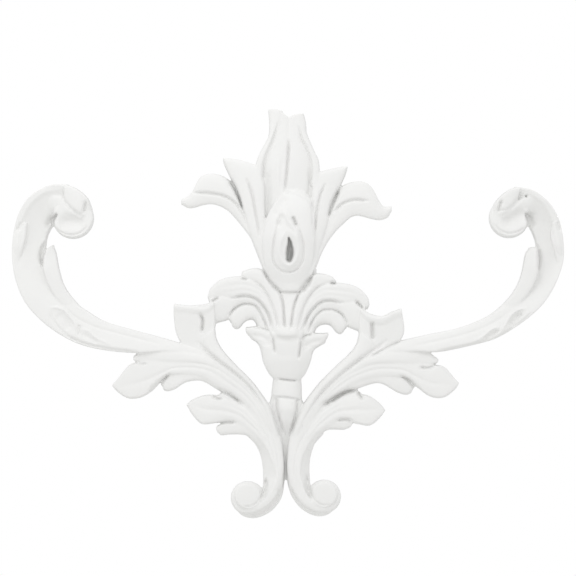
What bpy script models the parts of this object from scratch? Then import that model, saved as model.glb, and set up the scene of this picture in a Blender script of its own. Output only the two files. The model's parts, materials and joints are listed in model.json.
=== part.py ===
"""Ceiling corner moulding: one cast ornament of scrolls, acanthus, palmette and lily.

The ornament is drawn on a sheet in millimetres, x to the right and y down, as it hangs on
the wall. Every leaf, petal and scroll is a loft between two edges of that drawing. The lofts
are fused into one body, the creases are worked in, and the back is cut flat at the wall.
Run with: blender --background --python part.py
"""

import math

import bmesh
import bpy
import numpy as np

# Real size of one millimetre of the drawing, in metres
MM = 0.001

# Where the mount lies on the drawing sheet, in millimetres
SHEET_X = 286.5
SHEET_Y = 314.0

# How far every loft runs through the wall before the back is cut, in millimetres
RUN_THROUGH = 5.0

# How far the foot of a wall lies outside the drawn edge, in millimetres
REACH = 2.0

# How far a side wall leans out from front to foot, and how far where it faces down
LEAN = 0.7
LEAN_BELOW = 1.8

# The casting keeps at least this much material in front of the wall, in millimetres
FLOOR = 3.0

# Width of the rounding along the edge of a loft, in millimetres
EDGE_ROUND = 1.6

# How boxy the middle of a loft is: 2 is a round arch, more is flatter
ARCH = 2.8

# Lofts narrower than this have a lower crown, in millimetres
FULL_CROWN = 8.0

# The edge rounding takes this share of a quarter circle, so that no wall starts upright
ROUND_SHARE = 0.98

# Samples along and across one loft, and how many of them its bowed ends take
ALONG = 44
ACROSS = 15
BOW_REACH = 5

# Steps from knot to knot of a curve, and samples on each side that soften graded values
SPLINE_STEPS = 12
SOFTEN_REACH = 3

# Spokes and rings of a disc
DISC_TURNS = 48
DISC_RINGS = 14

# Samples of a crease, its reach in half widths, and how steeply its ends fade
STROKE_POINTS = 28
STROKE_REACH = 3
STROKE_FADE = 5

# Cells that fuse the lofts, rounds of smoothing before and after the creases, and triangles
VOXEL = 1.6 * MM
SMOOTH_BEFORE = 2
SMOOTH_AFTER = 1
TRIANGLES = 9000

# Side and depth of the block that cuts the back flat, in metres
WALL_SIDE = 0.8
WALL_DEPTH = 0.05

# Finish of the primed casting
CASTING_COLOUR = (0.84, 0.84, 0.83, 1.0)
CASTING_ROUGHNESS = 0.55

ORNAMENT = "ceiling_corner_moulding"
CASTING = "scroll_and_lily_casting"


def clear_scene():
    """Remove every object of the open scene."""
    for item in list(bpy.data.objects):
        bpy.data.objects.remove(item, do_unlink=True)


def spline(points, count):
    """Return count points, evenly spaced, on a smooth curve through the given points."""
    knots = np.array(points, dtype=float)
    frame_knots = np.vstack([2 * knots[0] - knots[1], knots, 2 * knots[-1] - knots[-2]])
    steps = np.linspace(0, 1, SPLINE_STEPS, endpoint=False)[:, None]
    pieces = []
    for index in range(1, len(frame_knots) - 2):
        a, b, c, d = frame_knots[index - 1:index + 3]
        pieces.append(0.5 * (2 * b + (c - a) * steps + (2 * a - 5 * b + 4 * c - d) * steps ** 2
                             + (3 * b - a - 3 * c + d) * steps ** 3))
    curve = np.vstack(pieces + [knots[-1:]])
    gaps = np.linalg.norm(np.diff(curve, axis=0), axis=1)
    run = np.concatenate([[0.0], np.cumsum(gaps)])
    wanted = np.linspace(0, run[-1], count)
    return np.stack([np.interp(wanted, run, curve[:, axis]) for axis in (0, 1)], axis=1)


def graded(values, count):
    """Spread a few values evenly over count samples, softened between them."""
    if np.isscalar(values):
        return np.full(count, float(values))
    places = np.linspace(0, 1, len(values))
    wanted = np.linspace(0, 1, count)
    spread = np.interp(wanted, places, values)
    padded = np.concatenate([np.full(SOFTEN_REACH, spread[0]), spread,
                             np.full(SOFTEN_REACH, spread[-1])])
    window = 2 * SOFTEN_REACH + 1
    return np.convolve(padded, np.full(window, 1 / window), mode="valid")


def lean(outward, below):
    """How far a side wall leans out from front to foot, most where it faces down."""
    return LEAN + (below - LEAN) * np.clip(outward[..., 1:], 0, 1)


def loft(left, right, rise_left, rise_right, crown=3.0, rim=0.9, bow=(0.0, 0.0), flutes=(),
         below=LEAN_BELOW):
    """One leaf, petal or band between two edges of the drawing.

    rise_left and rise_right are the heights off the wall along each edge, crown is how much
    the middle stands above them, rim is how far the edge rounds down, bow pushes the first
    and the last section outwards, each flute is (place across, depth, half width), and below
    is how far the walls lean out where they face down.
    """
    edge_left = spline(left, ALONG)
    edge_right = spline(right, ALONG)
    across = edge_left - edge_right
    across = across / np.maximum(np.linalg.norm(across, axis=1, keepdims=True), 1.0)
    edge_left = edge_left + across * (REACH - lean(across, below))
    edge_right = edge_right - across * (REACH - lean(-across, below))
    t = 0.5 - 0.5 * np.cos(np.pi * np.linspace(0, 1, ACROSS))[None, :]
    plan = edge_left[:, None, :] * (1 - t[..., None]) + edge_right[:, None, :] * t[..., None]
    width = np.linalg.norm(edge_right - edge_left, axis=1)[:, None]
    height = graded(rise_left, ALONG)[:, None] * (1 - t) + graded(rise_right, ALONG)[:, None] * t
    arch = 1 - np.abs(2 * t - 1) ** ARCH
    height = height + graded(crown, ALONG)[:, None] * arch * np.clip(width / FULL_CROWN, 0, 1)
    for place, depth, half in flutes:
        offset = (t - graded(place, ALONG)[:, None]) / half
        height = height - graded(depth, ALONG)[:, None] * np.exp(-offset ** 2)
    fall = np.clip(1 - np.minimum(t, 1 - t) * width / EDGE_ROUND, 0, 1)
    height = height - rim * (1 - np.sqrt(1 - ROUND_SHARE * fall ** 2))
    bulge = 4 * t.T * (1 - t.T)
    for sign, end, inner in ((1, 0, 3), (-1, -1, -4)):
        outward = edge_left[end] + edge_right[end] - edge_left[inner] - edge_right[inner]
        outward = outward / max(np.linalg.norm(outward), 1e-6)
        for index in range(BOW_REACH):
            fade = 1 - index / BOW_REACH
            plan[end + sign * index] += bow[0 if sign > 0 else 1] * fade * bulge * outward
        plan[end] += (REACH - lean(outward, below)) * outward
    return relief(plan, height, spread_foot(plan, below))


def disc(x, y, radius, rise, crown, rim=2.0):
    """A round boss, or a bowl where crown is less than 0: rings from the middle to the edge."""
    turns = np.linspace(0, 2 * math.pi, DISC_TURNS)
    rings = np.linspace(0, 1, DISC_RINGS)
    centre = np.array([x, y])
    spokes = np.stack([np.cos(turns), np.sin(turns)], axis=-1)
    front = radius + REACH - lean(spokes, LEAN_BELOW)
    plan = centre + front * rings[:, None, None] * spokes
    foot = centre + (radius + REACH) * rings[:, None, None] * spokes
    fall = np.clip(1 - (1 - rings) * radius / EDGE_ROUND, 0, 1)
    height = rise + crown * (1 - rings ** 2) - rim * (1 - np.sqrt(1 - ROUND_SHARE * fall ** 2))
    return relief(plan, np.repeat(height[:, None], len(turns), axis=1), foot)


def spread_foot(plan, below):
    """The plan of a loft's foot: its border lies outside the front edge by the lean."""
    foot = plan.copy()
    middle = plan[:, plan.shape[1] // 2]
    for side in (0, -1):
        outward = plan[:, side] - middle
        length = np.maximum(np.linalg.norm(outward, axis=1, keepdims=True), 1.0)
        outward = outward / length
        foot[:, side] += outward * lean(outward, below)
    for end, inner in ((0, 3), (-1, -4)):
        outward = middle[end] - middle[inner]
        outward = outward / max(np.linalg.norm(outward), 1e-6)
        foot[end] += outward * lean(outward, below)
    return foot


def relief(plan, height, foot):
    """Turn a sheet of drawing points with heights into a closed solid that passes the wall."""
    rows, columns = height.shape
    front = np.stack([(plan[..., 0] - SHEET_X) * MM, -height * MM,
                      (SHEET_Y - plan[..., 1]) * MM], axis=-1)
    rear = np.stack([(foot[..., 0] - SHEET_X) * MM, np.full(height.shape, RUN_THROUGH * MM),
                     (SHEET_Y - foot[..., 1]) * MM], axis=-1)
    index = np.arange(rows * columns).reshape(rows, columns)
    shift = rows * columns
    faces = []
    for row in range(rows - 1):
        for column in range(columns - 1):
            a, b = index[row, column], index[row, column + 1]
            c, d = index[row + 1, column + 1], index[row + 1, column]
            faces.append((a, b, c, d))
            faces.append((d + shift, c + shift, b + shift, a + shift))
    border = list(index[0, :]) + list(index[1:, -1])
    border += list(index[-1, -2::-1]) + list(index[-2:0:-1, 0])
    for here, there in zip(border, border[1:] + border[:1]):
        faces.append((there, here, here + shift, there + shift))
    return np.concatenate([front.reshape(-1, 3), rear.reshape(-1, 3)]), faces


def webs():
    """The low ground between the leaves, which shows only in the gaps."""
    yield loft([(234, 303), (250, 309), (262, 320), (272, 348)],
               [(340, 305), (322, 310), (312, 320), (301, 348)], 9, 9, 0, bow=(12, 0))
    yield loft([(207, 364), (222, 382), (238, 398), (250, 414), (258, 430)],
               [(214, 355), (236, 371), (254, 390), (266, 410), (274, 430)], 10, 12, 1)
    yield loft([(357, 358), (338, 371), (320, 391), (308, 411), (300, 430)],
               [(366, 364), (350, 381), (333, 398), (321, 414), (315, 430)], 12, 10, 1)
    yield loft([(281, 436), (281.5, 460), (285.5, 479)], [(291, 436), (290, 460), (287.5, 479)],
               2.5, 2.5, 0)
    yield loft([(258, 168), (262, 215), (272, 262)], [(317, 170), (313, 215), (304, 262)], 8, 9, 0)


def lily():
    """The two tall petals with their rims, two pairs of side petals, the bud and its base."""
    middle = [(288.7, 119), (288.5, 147), (286.5, 170), (285, 190), (286, 268)]
    yield loft([(279, 112), (277, 126), (273, 140), (268, 155), (264, 166), (263, 178),
                (265, 205), (269, 235), (277, 268)], middle,
               (11, 13, 13, 11, 11, 12, 12), (12, 16, 18, 18, 18, 18), 2)
    yield loft(middle, [(300, 116), (299.5, 130), (301, 138), (306, 148), (309, 158), (311, 170),
                        (310, 195), (311, 217), (303, 268)],
               (12, 16, 18, 18, 18, 18), (11, 13, 13, 12, 11.5, 12, 12), 2)
    yield loft([(270, 111.5), (271, 124), (270, 137), (265, 147), (260, 157), (257, 168),
                (258, 182)],
               [(281, 112.7), (278, 126), (274, 137), (270, 147), (266, 158), (263, 168),
                (262, 184)],
               (10, 13, 16, 17), (13, 15, 16, 16), 1.5, bow=(1, 0))
    yield loft([(294, 117), (298, 130), (301, 139), (306, 149), (310, 160), (312, 172),
                (312, 186)],
               [(302.5, 115.5), (304.5, 125), (305, 133), (309, 143), (313, 152), (317, 161),
                (318, 173), (317, 186)],
               (13, 15, 16, 16), (10, 13, 16, 17), 1.5, bow=(0.5, 0))
    yield loft([(224.5, 159), (225, 163), (229, 172), (233, 180), (240, 195), (245, 212),
                (252, 236), (260, 257), (266, 272)],
               [(224.5, 159), (232, 160), (245, 163), (256, 168), (262, 178), (263.5, 195),
                (264, 215), (266, 240), (274, 272)],
               (11, 14, 15, 16, 16, 17), (11, 16, 18, 18, 18, 18), 2)
    yield loft([(346.5, 167.5), (335, 169.5), (325, 172), (318, 175.5), (313.5, 190),
                (312, 217), (308, 245), (300, 272)],
               [(346.5, 167.5), (344, 175), (340, 184), (336, 194), (330, 210), (324, 232),
                (317, 255), (311, 272)],
               (11, 16, 18, 18, 18, 18), (11, 14, 15, 16, 16, 17), 2)
    yield loft([(183, 203), (188, 206.5), (195, 206), (203, 203.5), (211, 202.5), (220, 204.5),
                (228, 209), (235, 216), (243, 226), (250, 236), (256, 247), (261, 258),
                (265, 270)],
               [(183, 201), (190, 196), (194, 190), (197, 184), (201, 178.5), (209, 175.5),
                (217, 176), (225, 179), (231, 184), (237, 195), (243, 212), (250, 232),
                (258, 252), (268, 270)],
               (5, 10, 12, 13, 15), (5, 10, 11, 10, 14), 2.5, below=LEAN)
    yield loft([(390, 208.5), (384, 207.5), (379.3, 202), (375.5, 195), (371.5, 188.5), (364, 183.6),
                (355, 183.5), (347, 185.5), (340, 190), (334, 202), (328, 218), (322, 236),
                (316, 254), (309, 270)],
               [(390, 210.5), (387, 216), (380, 218.5), (372, 217.5), (365, 215.5), (357, 214),
                (350, 216), (343, 222), (336, 229), (329, 238), (323, 248), (318, 259),
                (313, 270)],
               (5, 10, 11, 10, 14), (5, 10, 12, 13, 15), 2.5, below=LEAN)
    yield loft([(262, 254), (266, 271), (273, 283), (280, 291)],
               [(316, 260), (311, 273), (305, 283), (299, 291)], (17, 19, 17), (17, 19, 17), 4)
    yield loft([(264.5, 271), (270, 283), (278, 293)], [(315, 271), (309.5, 282), (301, 293)],
               8.5, 8.5, 0)
    yield loft([(294, 190.5), (287, 194), (279, 200), (270, 213), (265, 232), (264, 248),
                (267, 268), (277, 289)],
               [(297, 190.5), (304, 193), (309, 199), (313, 220), (313.5, 238), (311, 262),
                (302, 289)], (15, 23, 24, 22, 17), (15, 23, 24, 22, 17), (3, 6, 8, 7, 3))


def palmette():
    """The fan: on each side a small lobe, a broad double lobe and a curl, and the wedge."""
    top_left = [(244.5, 277), (246, 279), (253, 281), (261, 286), (268, 296), (274, 310),
                (278, 322), (280, 340)]
    middle_left = [(211, 300), (219, 297.5), (232, 298.5), (245, 296), (258, 300), (266, 309),
                   (271, 320), (274, 340)]
    curl_left = [(230, 318), (233, 311), (240, 306), (248, 304), (256, 307), (263, 317),
                 (269, 340)]
    top_right = [(332.5, 283.5), (326, 284.5), (318, 288), (310, 295), (304, 306), (299, 320),
                 (295.5, 340)]
    middle_right = [(364, 308), (356, 303), (342, 303), (330, 300.5), (319, 303), (310, 312),
                    (305, 321), (301, 340)]
    curl_right = [(345.8, 324), (343, 316), (336, 311), (330, 309.5), (321, 311), (314, 319),
                  (307, 340)]
    yield loft([(244.3, 273), (248, 271), (258, 270), (267, 276), (277, 291), (281.5, 300),
                (283.5, 314), (285, 340)], top_left, (13, 19, 21, 23), (13, 18, 20, 22), 2, bow=(1, 0))
    yield loft(top_right, [(334, 282), (331, 278), (318, 275), (310, 280), (302, 291.5),
                           (297, 302), (293, 315), (290.5, 340)],
               (13, 18, 20, 22), (13, 19, 21, 23), 2, bow=(1, 0))
    yield loft([(209, 297), (211, 290), (222, 281), (240, 278), (253, 281), (261, 286),
                (268, 296), (274, 310), (278, 322), (280, 340)],
               [(209.5, 299), (214, 300), (219, 297.5), (232, 298.5), (245, 296), (258, 300),
                (266, 309), (271, 320), (274, 340)],
               (9, 14, 16, 18, 21), (8, 13, 16, 18, 21), 2,
               flutes=((0.38, (0, 1, 1, 0), 0.1), (0.66, (0, 0.8, 0.8, 0), 0.08)))
    yield loft([(367, 307.5), (362, 307), (356, 303), (342, 303), (330, 300.5), (319, 303),
                (310, 312), (305, 321), (301, 340)],
               [(368, 305), (367, 299), (357, 289), (343, 285), (326, 284.5), (318, 288),
                (310, 295), (304, 306), (299, 320), (295.5, 340)],
               (8, 13, 16, 18, 21), (9, 14, 16, 18, 21), 2,
               flutes=((0.62, (0, 1, 1, 0), 0.1), (0.34, (0, 0.8, 0.8, 0), 0.08)))
    yield loft(middle_left, [(213, 323), (220, 321), (229, 318)] + curl_left[1:],
               (12, 14, 15, 18), (9, 10, 13, 17), 1.5)
    yield loft([(361, 331), (352, 327.5)] + curl_right, middle_right,
               (9, 10, 13, 17), (12, 14, 15, 18), 1.5)
    yield loft(curl_left, [(231.5, 321), (232.5, 325.5), (236.5, 328), (240, 326.5),
                           (244, 322), (249, 319), (256, 321), (264, 340)],
               (11, 14, 16, 18), (10, 12, 13, 15), 2.5, bow=(0, 0))
    yield loft([(345, 327), (343.7, 330.5), (340, 333), (336, 331), (330, 324.5), (322, 323.5),
                (315, 328), (311, 340)], curl_right,
               (10, 12, 13, 15), (11, 14, 16, 18), 2.5, bow=(0, 0))
    yield loft([(281, 293), (283, 305), (285, 340)], [(298, 293), (294.5, 305), (290.5, 340)],
               (17, 21, 23), (17, 21, 23), 1)
    yield loft([(262, 322), (266, 336), (270, 352)], [(313, 322), (309, 336), (304, 352)],
               15, 15, 2)


def cup():
    """The flared cup, its rolled rim, the collar and the husk that hangs from it."""
    yield loft([(263, 347), (264, 356), (265.5, 363), (268.5, 370), (272.5, 376), (277, 380)],
               [(311, 349), (310, 357), (308, 364), (305.5, 370), (302, 376), (298, 380)],
               (19, 19, 18, 17), (19, 19, 18, 17), (9, 9, 7, 4))
    yield loft([(249, 334.5), (252, 338), (257, 341), (260.5, 345.5), (262.5, 352), (265, 362),
                (270, 371)],
               [(248, 329), (255, 328), (264, 329.5), (272, 335), (276, 345), (278, 358),
                (280, 372)],
               (12, 17, 19, 15), (14, 20, 24, 18), 2, bow=(1, 0))
    yield loft([(326, 334.8), (318, 334.5), (309, 335.5), (301, 340), (298, 350), (297, 360),
                (294, 374)],
               [(326, 338), (324.5, 341.5), (319.5, 344.5), (313.5, 348.5), (310.5, 355),
                (308, 363), (303, 372)], (14, 20, 24, 18), (12, 17, 19, 15), 2, bow=(1, 0))
    yield loft([(273.5, 334), (273.5, 342), (276, 354), (278, 366), (281, 376)],
               [(300, 334), (300.5, 344), (298.5, 356), (296, 367), (293, 377)],
               (29, 27.5, 25, 21), (29, 27.5, 25, 21), (1, 1.5, 2, 1))
    yield loft([(271.5, 332), (278, 328.7), (287, 328), (295, 328.7), (302, 334)],
               [(273, 336), (279, 335.5), (287, 336.2), (295, 335.5), (301.5, 338)],
               (26, 31, 32, 31, 26), (26, 32, 33, 32, 26), 1)
    yield loft([(275, 378.5), (273.7, 388), (273, 397)], [(299.5, 379.5), (300, 389), (300, 399)],
               14, 14, 8)
    yield loft([(273.5, 395), (271, 405), (272, 412), (276, 424), (281, 440), (283.5, 458)],
               [(300, 398), (302, 407), (301, 414), (296, 427), (291, 442), (289, 458)],
               (13, 12, 8, 4, 3), (13, 12, 8, 4, 3), (3, 3, 1, 0))
    yield loft([(279, 395), (278.5, 404), (281, 415), (286, 434)],
               [(294.5, 396), (295, 404), (292.5, 415), (288, 434)],
               (18, 20, 16, 7), (18, 20, 16, 7), (4, 4, 3, 2))


def stems():
    """The two S-shaped ribs with the ears at their upper ends, and the ground they rise from."""
    yield loft([(232, 409), (243, 419), (254, 431), (263, 442), (269, 452), (273.5, 463),
                (276.5, 475), (276, 488)],
               [(252, 389), (262, 400), (269, 412), (275, 426), (280, 440), (282, 456),
                (282.5, 470), (280.5, 488)],
               (9, 11, 14, 15, 16, 17), (13, 13, 12, 12, 12.5, 12), (3, 3, 2, 1.5, 1))
    yield loft([(247, 434), (256, 443), (261.5, 454), (264, 466), (264.7, 476), (264.5, 488)],
               [(251, 431), (262, 441), (269, 452), (273.5, 463), (276.5, 475), (276, 488)],
               (7, 5, 4, 4, 4, 5), (12, 14, 15.5, 16, 16.5, 17), 0.5)
    yield loft([(319, 390), (310, 400), (302, 411), (295, 425), (290.5, 440), (288.8, 456),
                (288.5, 470), (291, 488)],
               [(338, 408), (329, 417), (320, 429), (309, 443), (302.5, 455), (299.8, 468),
                (300, 480), (302, 488)],
               (13, 13, 12, 12, 12.5, 12), (9, 11, 14, 15, 16, 17), (3, 3, 2, 1.5, 1))
    yield loft([(321, 431), (309, 443), (302.5, 455), (299.8, 468), (300, 480), (302, 488)],
               [(322, 434), (314, 443), (310.5, 452), (308.5, 461), (308, 472), (309, 488)],
               (12, 14, 15.5, 16, 16.5, 17), (7, 5, 4, 4, 4, 5), 0.5)
    yield loft([(203, 340), (208, 351), (220, 361), (238, 374), (252, 387), (262, 401),
                (270, 418), (275, 436), (278, 452)],
               [(214, 330), (215.5, 340), (221.8, 351.5), (235, 366.3), (251, 382.4), (263.8, 399.6),
                (270.5, 411), (277.5, 432), (280.3, 452)],
               (13, 16, 18, 18, 16, 11), (14, 16, 16, 16, 14, 9), 2)
    yield loft([(360.3, 334), (357.6, 344.8), (350.5, 354.6), (337.5, 366.6), (321.5, 382.6), (308.6, 399),
                (301.5, 411), (294.5, 430), (290.5, 452)],
               [(374, 344), (368, 352), (357, 360), (341, 373), (326, 386), (314, 400),
                (303, 419), (297, 436), (293, 452)],
               (14, 16, 16, 16, 14, 9), (13, 16, 18, 18, 16, 11), 2)
    yield loft([(175.5, 306), (175.5, 315), (178, 333), (186, 347), (200, 357), (216, 367)],
               [(213, 304), (214, 323), (213.5, 332), (217, 346), (226, 358), (236, 369)],
               (16, 13, 12, 13), (15, 14, 14, 13), (1, 0, 1), bow=(-2, 0))
    yield loft([(361, 309), (360, 330), (360.5, 338), (355, 351), (345, 361), (334, 371)],
               [(400, 310.5), (402.5, 328), (400, 338), (390, 349), (375, 358), (356, 370)],
               (15, 14, 14, 13), (16, 13, 12, 13), (1, 0, 1), bow=(-8, 0))
    yield loft([(175.7, 305.7), (190, 307.7), (205, 308.7), (213, 303.7)],
               [(176, 313), (190, 314.5), (204, 315.5), (213, 311)], (17, 17, 16),
               (14, 14, 13), 1.5)
    yield loft([(361, 309.2), (366, 315), (376, 318.5), (384, 317.5), (392, 313.5),
                (400, 310.7)],
               [(361, 316), (367, 322), (377, 325.5), (386, 324.5), (394, 320.5), (401, 318)],
               (16, 17, 17), (13, 14, 14), 1.5)


def feet():
    """The volute at each foot: a band that turns under and around a flat round boss."""
    crest_left = [(276.5, 468), (275.3, 481), (270.5, 492.5), (263, 501.5), (254.5, 506.5),
                  (246, 508), (237.5, 503)]
    ridge_left = [(282, 468), (280.3, 483), (275.5, 495), (267.5, 504), (257, 510),
                  (246, 512), (236, 504.5)]
    crest_right = [(299.8, 468), (301, 481), (305.5, 492.5), (312.5, 501), (321, 506),
                   (329.5, 507), (337, 501.5)]
    ridge_right = [(289.8, 468), (291.8, 483), (297, 495.5), (304, 504), (313.5, 509.5),
                   (323.5, 511), (333, 505.5)]
    yield loft([(264.5, 466), (265, 482), (262.5, 494), (257, 502), (249, 506), (241, 504),
                (236, 498)], crest_left,
               (2, 5, 8, 12, 13, 13), (11, 17, 17.5, 17.5, 16.5, 14), 0.5)
    yield loft(crest_left, ridge_left, (11, 17, 17.5, 17.5, 16.5, 14),
               (7, 13, 16, 16.5, 16, 14), 0.5, rim=0.5)
    yield loft(ridge_left, [(283, 468), (283, 484), (279.7, 498.5), (269.8, 510.5), (255.7, 516.6),
                            (243, 514.2), (233.5, 503)],
               (7, 13, 15.5, 16, 15.5, 14), (5, 7, 5, 4, 5, 8), 0.5, rim=0.5, below=1.0)
    yield loft(crest_right, [(308, 466), (308, 482), (310.5, 494), (316, 501.5), (323, 505),
                             (331, 503), (336, 497)],
               (11, 17, 17.5, 17.5, 16.5, 14), (2, 5, 8, 12, 13, 13), 0.5)
    yield loft(ridge_right, crest_right, (7, 13, 16, 16.5, 16, 14),
               (11, 17, 17.5, 17.5, 16.5, 14), 0.5, rim=0.5)
    yield loft([(288.3, 468), (288.7, 482), (292.4, 495), (301.5, 507.5), (315.3, 514.8), (328, 513),
                (338, 502)], ridge_right,
               (5, 7, 5, 4, 5, 8), (7, 13, 15.5, 16, 15.5, 14), 0.5, rim=0.5, below=1.0)
    for x, y in ((247.8, 498), (324, 496.6)):
        yield disc(x, y, 15.2, 15.5, 0.5)
        yield disc(x, y - 2.3, 11.8, 19, 0.3, 1.2)


def acanthus():
    """Two lobed leaves on each side, whose bands all run down into the foot."""
    yield loft([(113.5, 385), (117, 390), (128, 397), (141, 396), (153, 389), (162, 380),
                (172, 374), (200, 376), (219, 387), (233, 395), (246, 405), (256, 418),
                (264, 434), (270, 452)],
               [(113.5, 385), (117, 381), (127, 369), (133, 365), (150, 362), (180, 359),
                (205, 359), (222, 364), (240, 377), (254, 391), (265, 408), (272, 425),
                (277, 452)],
               (9, 13, 14, 14, 14, 14, 12), (9, 13, 14, 15, 16, 16, 12), (0.5, 1, 2, 2, 1),
               flutes=((0.42, (0, 1.2, 1.2, 1, 0), 0.07), (0.66, (0, 0, 1.2, 1, 0), 0.06)))
    yield loft([(457.5, 383), (455, 380), (446, 370), (440, 367), (425, 366), (398, 360),
                (372, 359), (353, 366.5), (338, 377), (323, 393), (311, 410), (301, 428),
                (294, 452)],
               [(457.5, 383), (455, 388), (444, 396), (431, 395.5), (418, 387), (408, 378),
                (388, 376), (368, 379), (350, 386), (334, 396), (322, 406), (312, 421),
                (304, 438), (301, 452)],
               (9, 13, 14, 15, 16, 16, 12), (9, 13, 14, 14, 14, 14, 12), (0.5, 1, 2, 2, 1),
               flutes=((0.58, (0, 1.2, 1.2, 1, 0), 0.07), (0.34, (0, 0, 1.2, 1, 0), 0.06)))
    yield loft([(137, 361), (146, 363.5), (170, 362), (200, 363), (226, 374), (240, 388)],
               [(136, 357), (138, 355), (145, 352), (165, 350.5), (195, 354), (220, 363),
                (244, 383)],
               (9, 14, 16, 15, 12), (9, 14, 15, 15, 12), 1.5, bow=(1.5, 0))
    yield loft([(435.5, 359.5), (432, 356), (426, 353.5), (405, 351.5), (378, 354), (356, 364),
                (332, 384)],
               [(435, 362.5), (427, 366), (400, 363), (372, 364), (350, 376), (336, 390)],
               (9, 14, 15, 15, 12), (9, 14, 16, 15, 12), 1.5, bow=(1.5, 0))
    yield loft([(163, 384), (163.5, 388), (167, 390), (175, 388), (187, 381), (203, 380),
                (219, 389), (232, 396), (244, 406)],
               [(165, 378), (170, 373), (188, 370), (207, 373), (226, 383), (240, 392),
                (250, 402)],
               (9, 12, 12, 12, 9), (10, 13, 14, 14, 11), 1, bow=(1, 0))
    yield loft([(411, 383), (405, 377), (388, 373), (368, 375), (350, 383), (336, 392),
                (322, 404)],
               [(412.5, 387), (411.5, 391), (406, 393.5), (397, 391), (378, 382), (357, 387.5),
                (342, 393), (328, 404)],
               (10, 13, 14, 14, 11), (9, 12, 12, 12, 9), 1, bow=(2.5, 0))
    yield loft([(188, 405), (191, 411), (199, 420.5), (205, 423), (219, 421.5), (232, 421.5),
                (246, 429), (258, 438), (267, 449), (272, 460)],
               [(188, 405), (191, 402), (203, 397), (218, 397), (232, 402), (245, 410),
                (256, 422), (264, 435), (270, 448), (275, 460)],
               (9, 13, 13, 13, 13, 12), (9, 13, 14, 15, 15, 13), (0.5, 1, 2, 2, 1),
               flutes=((0.5, (0, 1.2, 1.2, 1, 0), 0.08), (0.76, (0, 0, 1, 1, 0), 0.06)))
    yield loft([(384, 410), (380, 405), (368, 397), (354, 397), (338, 402), (325, 411),
                (314, 424), (306, 438), (300, 450), (296.5, 461)],
               [(384, 410), (381, 415), (370, 424), (357, 422.5), (342, 420), (329, 426),
                (317, 434), (307, 445), (301, 455), (299, 462)],
               (9, 13, 14, 15, 15, 13), (9, 13, 13, 13, 13, 12), (0.5, 1, 2, 2, 1),
               flutes=((0.5, (0, 1.2, 1.2, 1, 0), 0.08), (0.24, (0, 0, 1, 1, 0), 0.06)))
    yield loft([(216, 398), (230, 405), (248, 420)],
               [(218, 396), (223, 393.5), (230, 397), (250, 413)],
               (9, 13, 13), (9, 12, 13), 1.5)
    yield loft([(360, 393.5), (356, 390.5), (348, 393), (336, 401), (320, 414)],
               [(362, 397), (350, 401), (338, 409), (324, 422)], (9, 12, 13), (9, 13, 13), 1.5)
    yield loft([(219, 431.5), (221, 434), (232, 433), (246, 434), (254, 440), (260, 448)],
               [(219, 427), (224, 422), (233, 420), (245, 424), (256, 434), (265, 445)],
               (9, 11, 12, 11, 7), (10, 13, 14, 14, 13), 1, bow=(1, 0))
    yield loft([(350, 423), (344, 419), (334, 420), (322, 426), (313, 436), (306, 447)],
               [(348, 427), (344, 428.5), (328, 428.5), (319, 435), (314, 442), (311, 450)],
               (10, 13, 14, 14, 13), (9, 11, 12, 11, 7), 1, bow=(1, 0))


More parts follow.
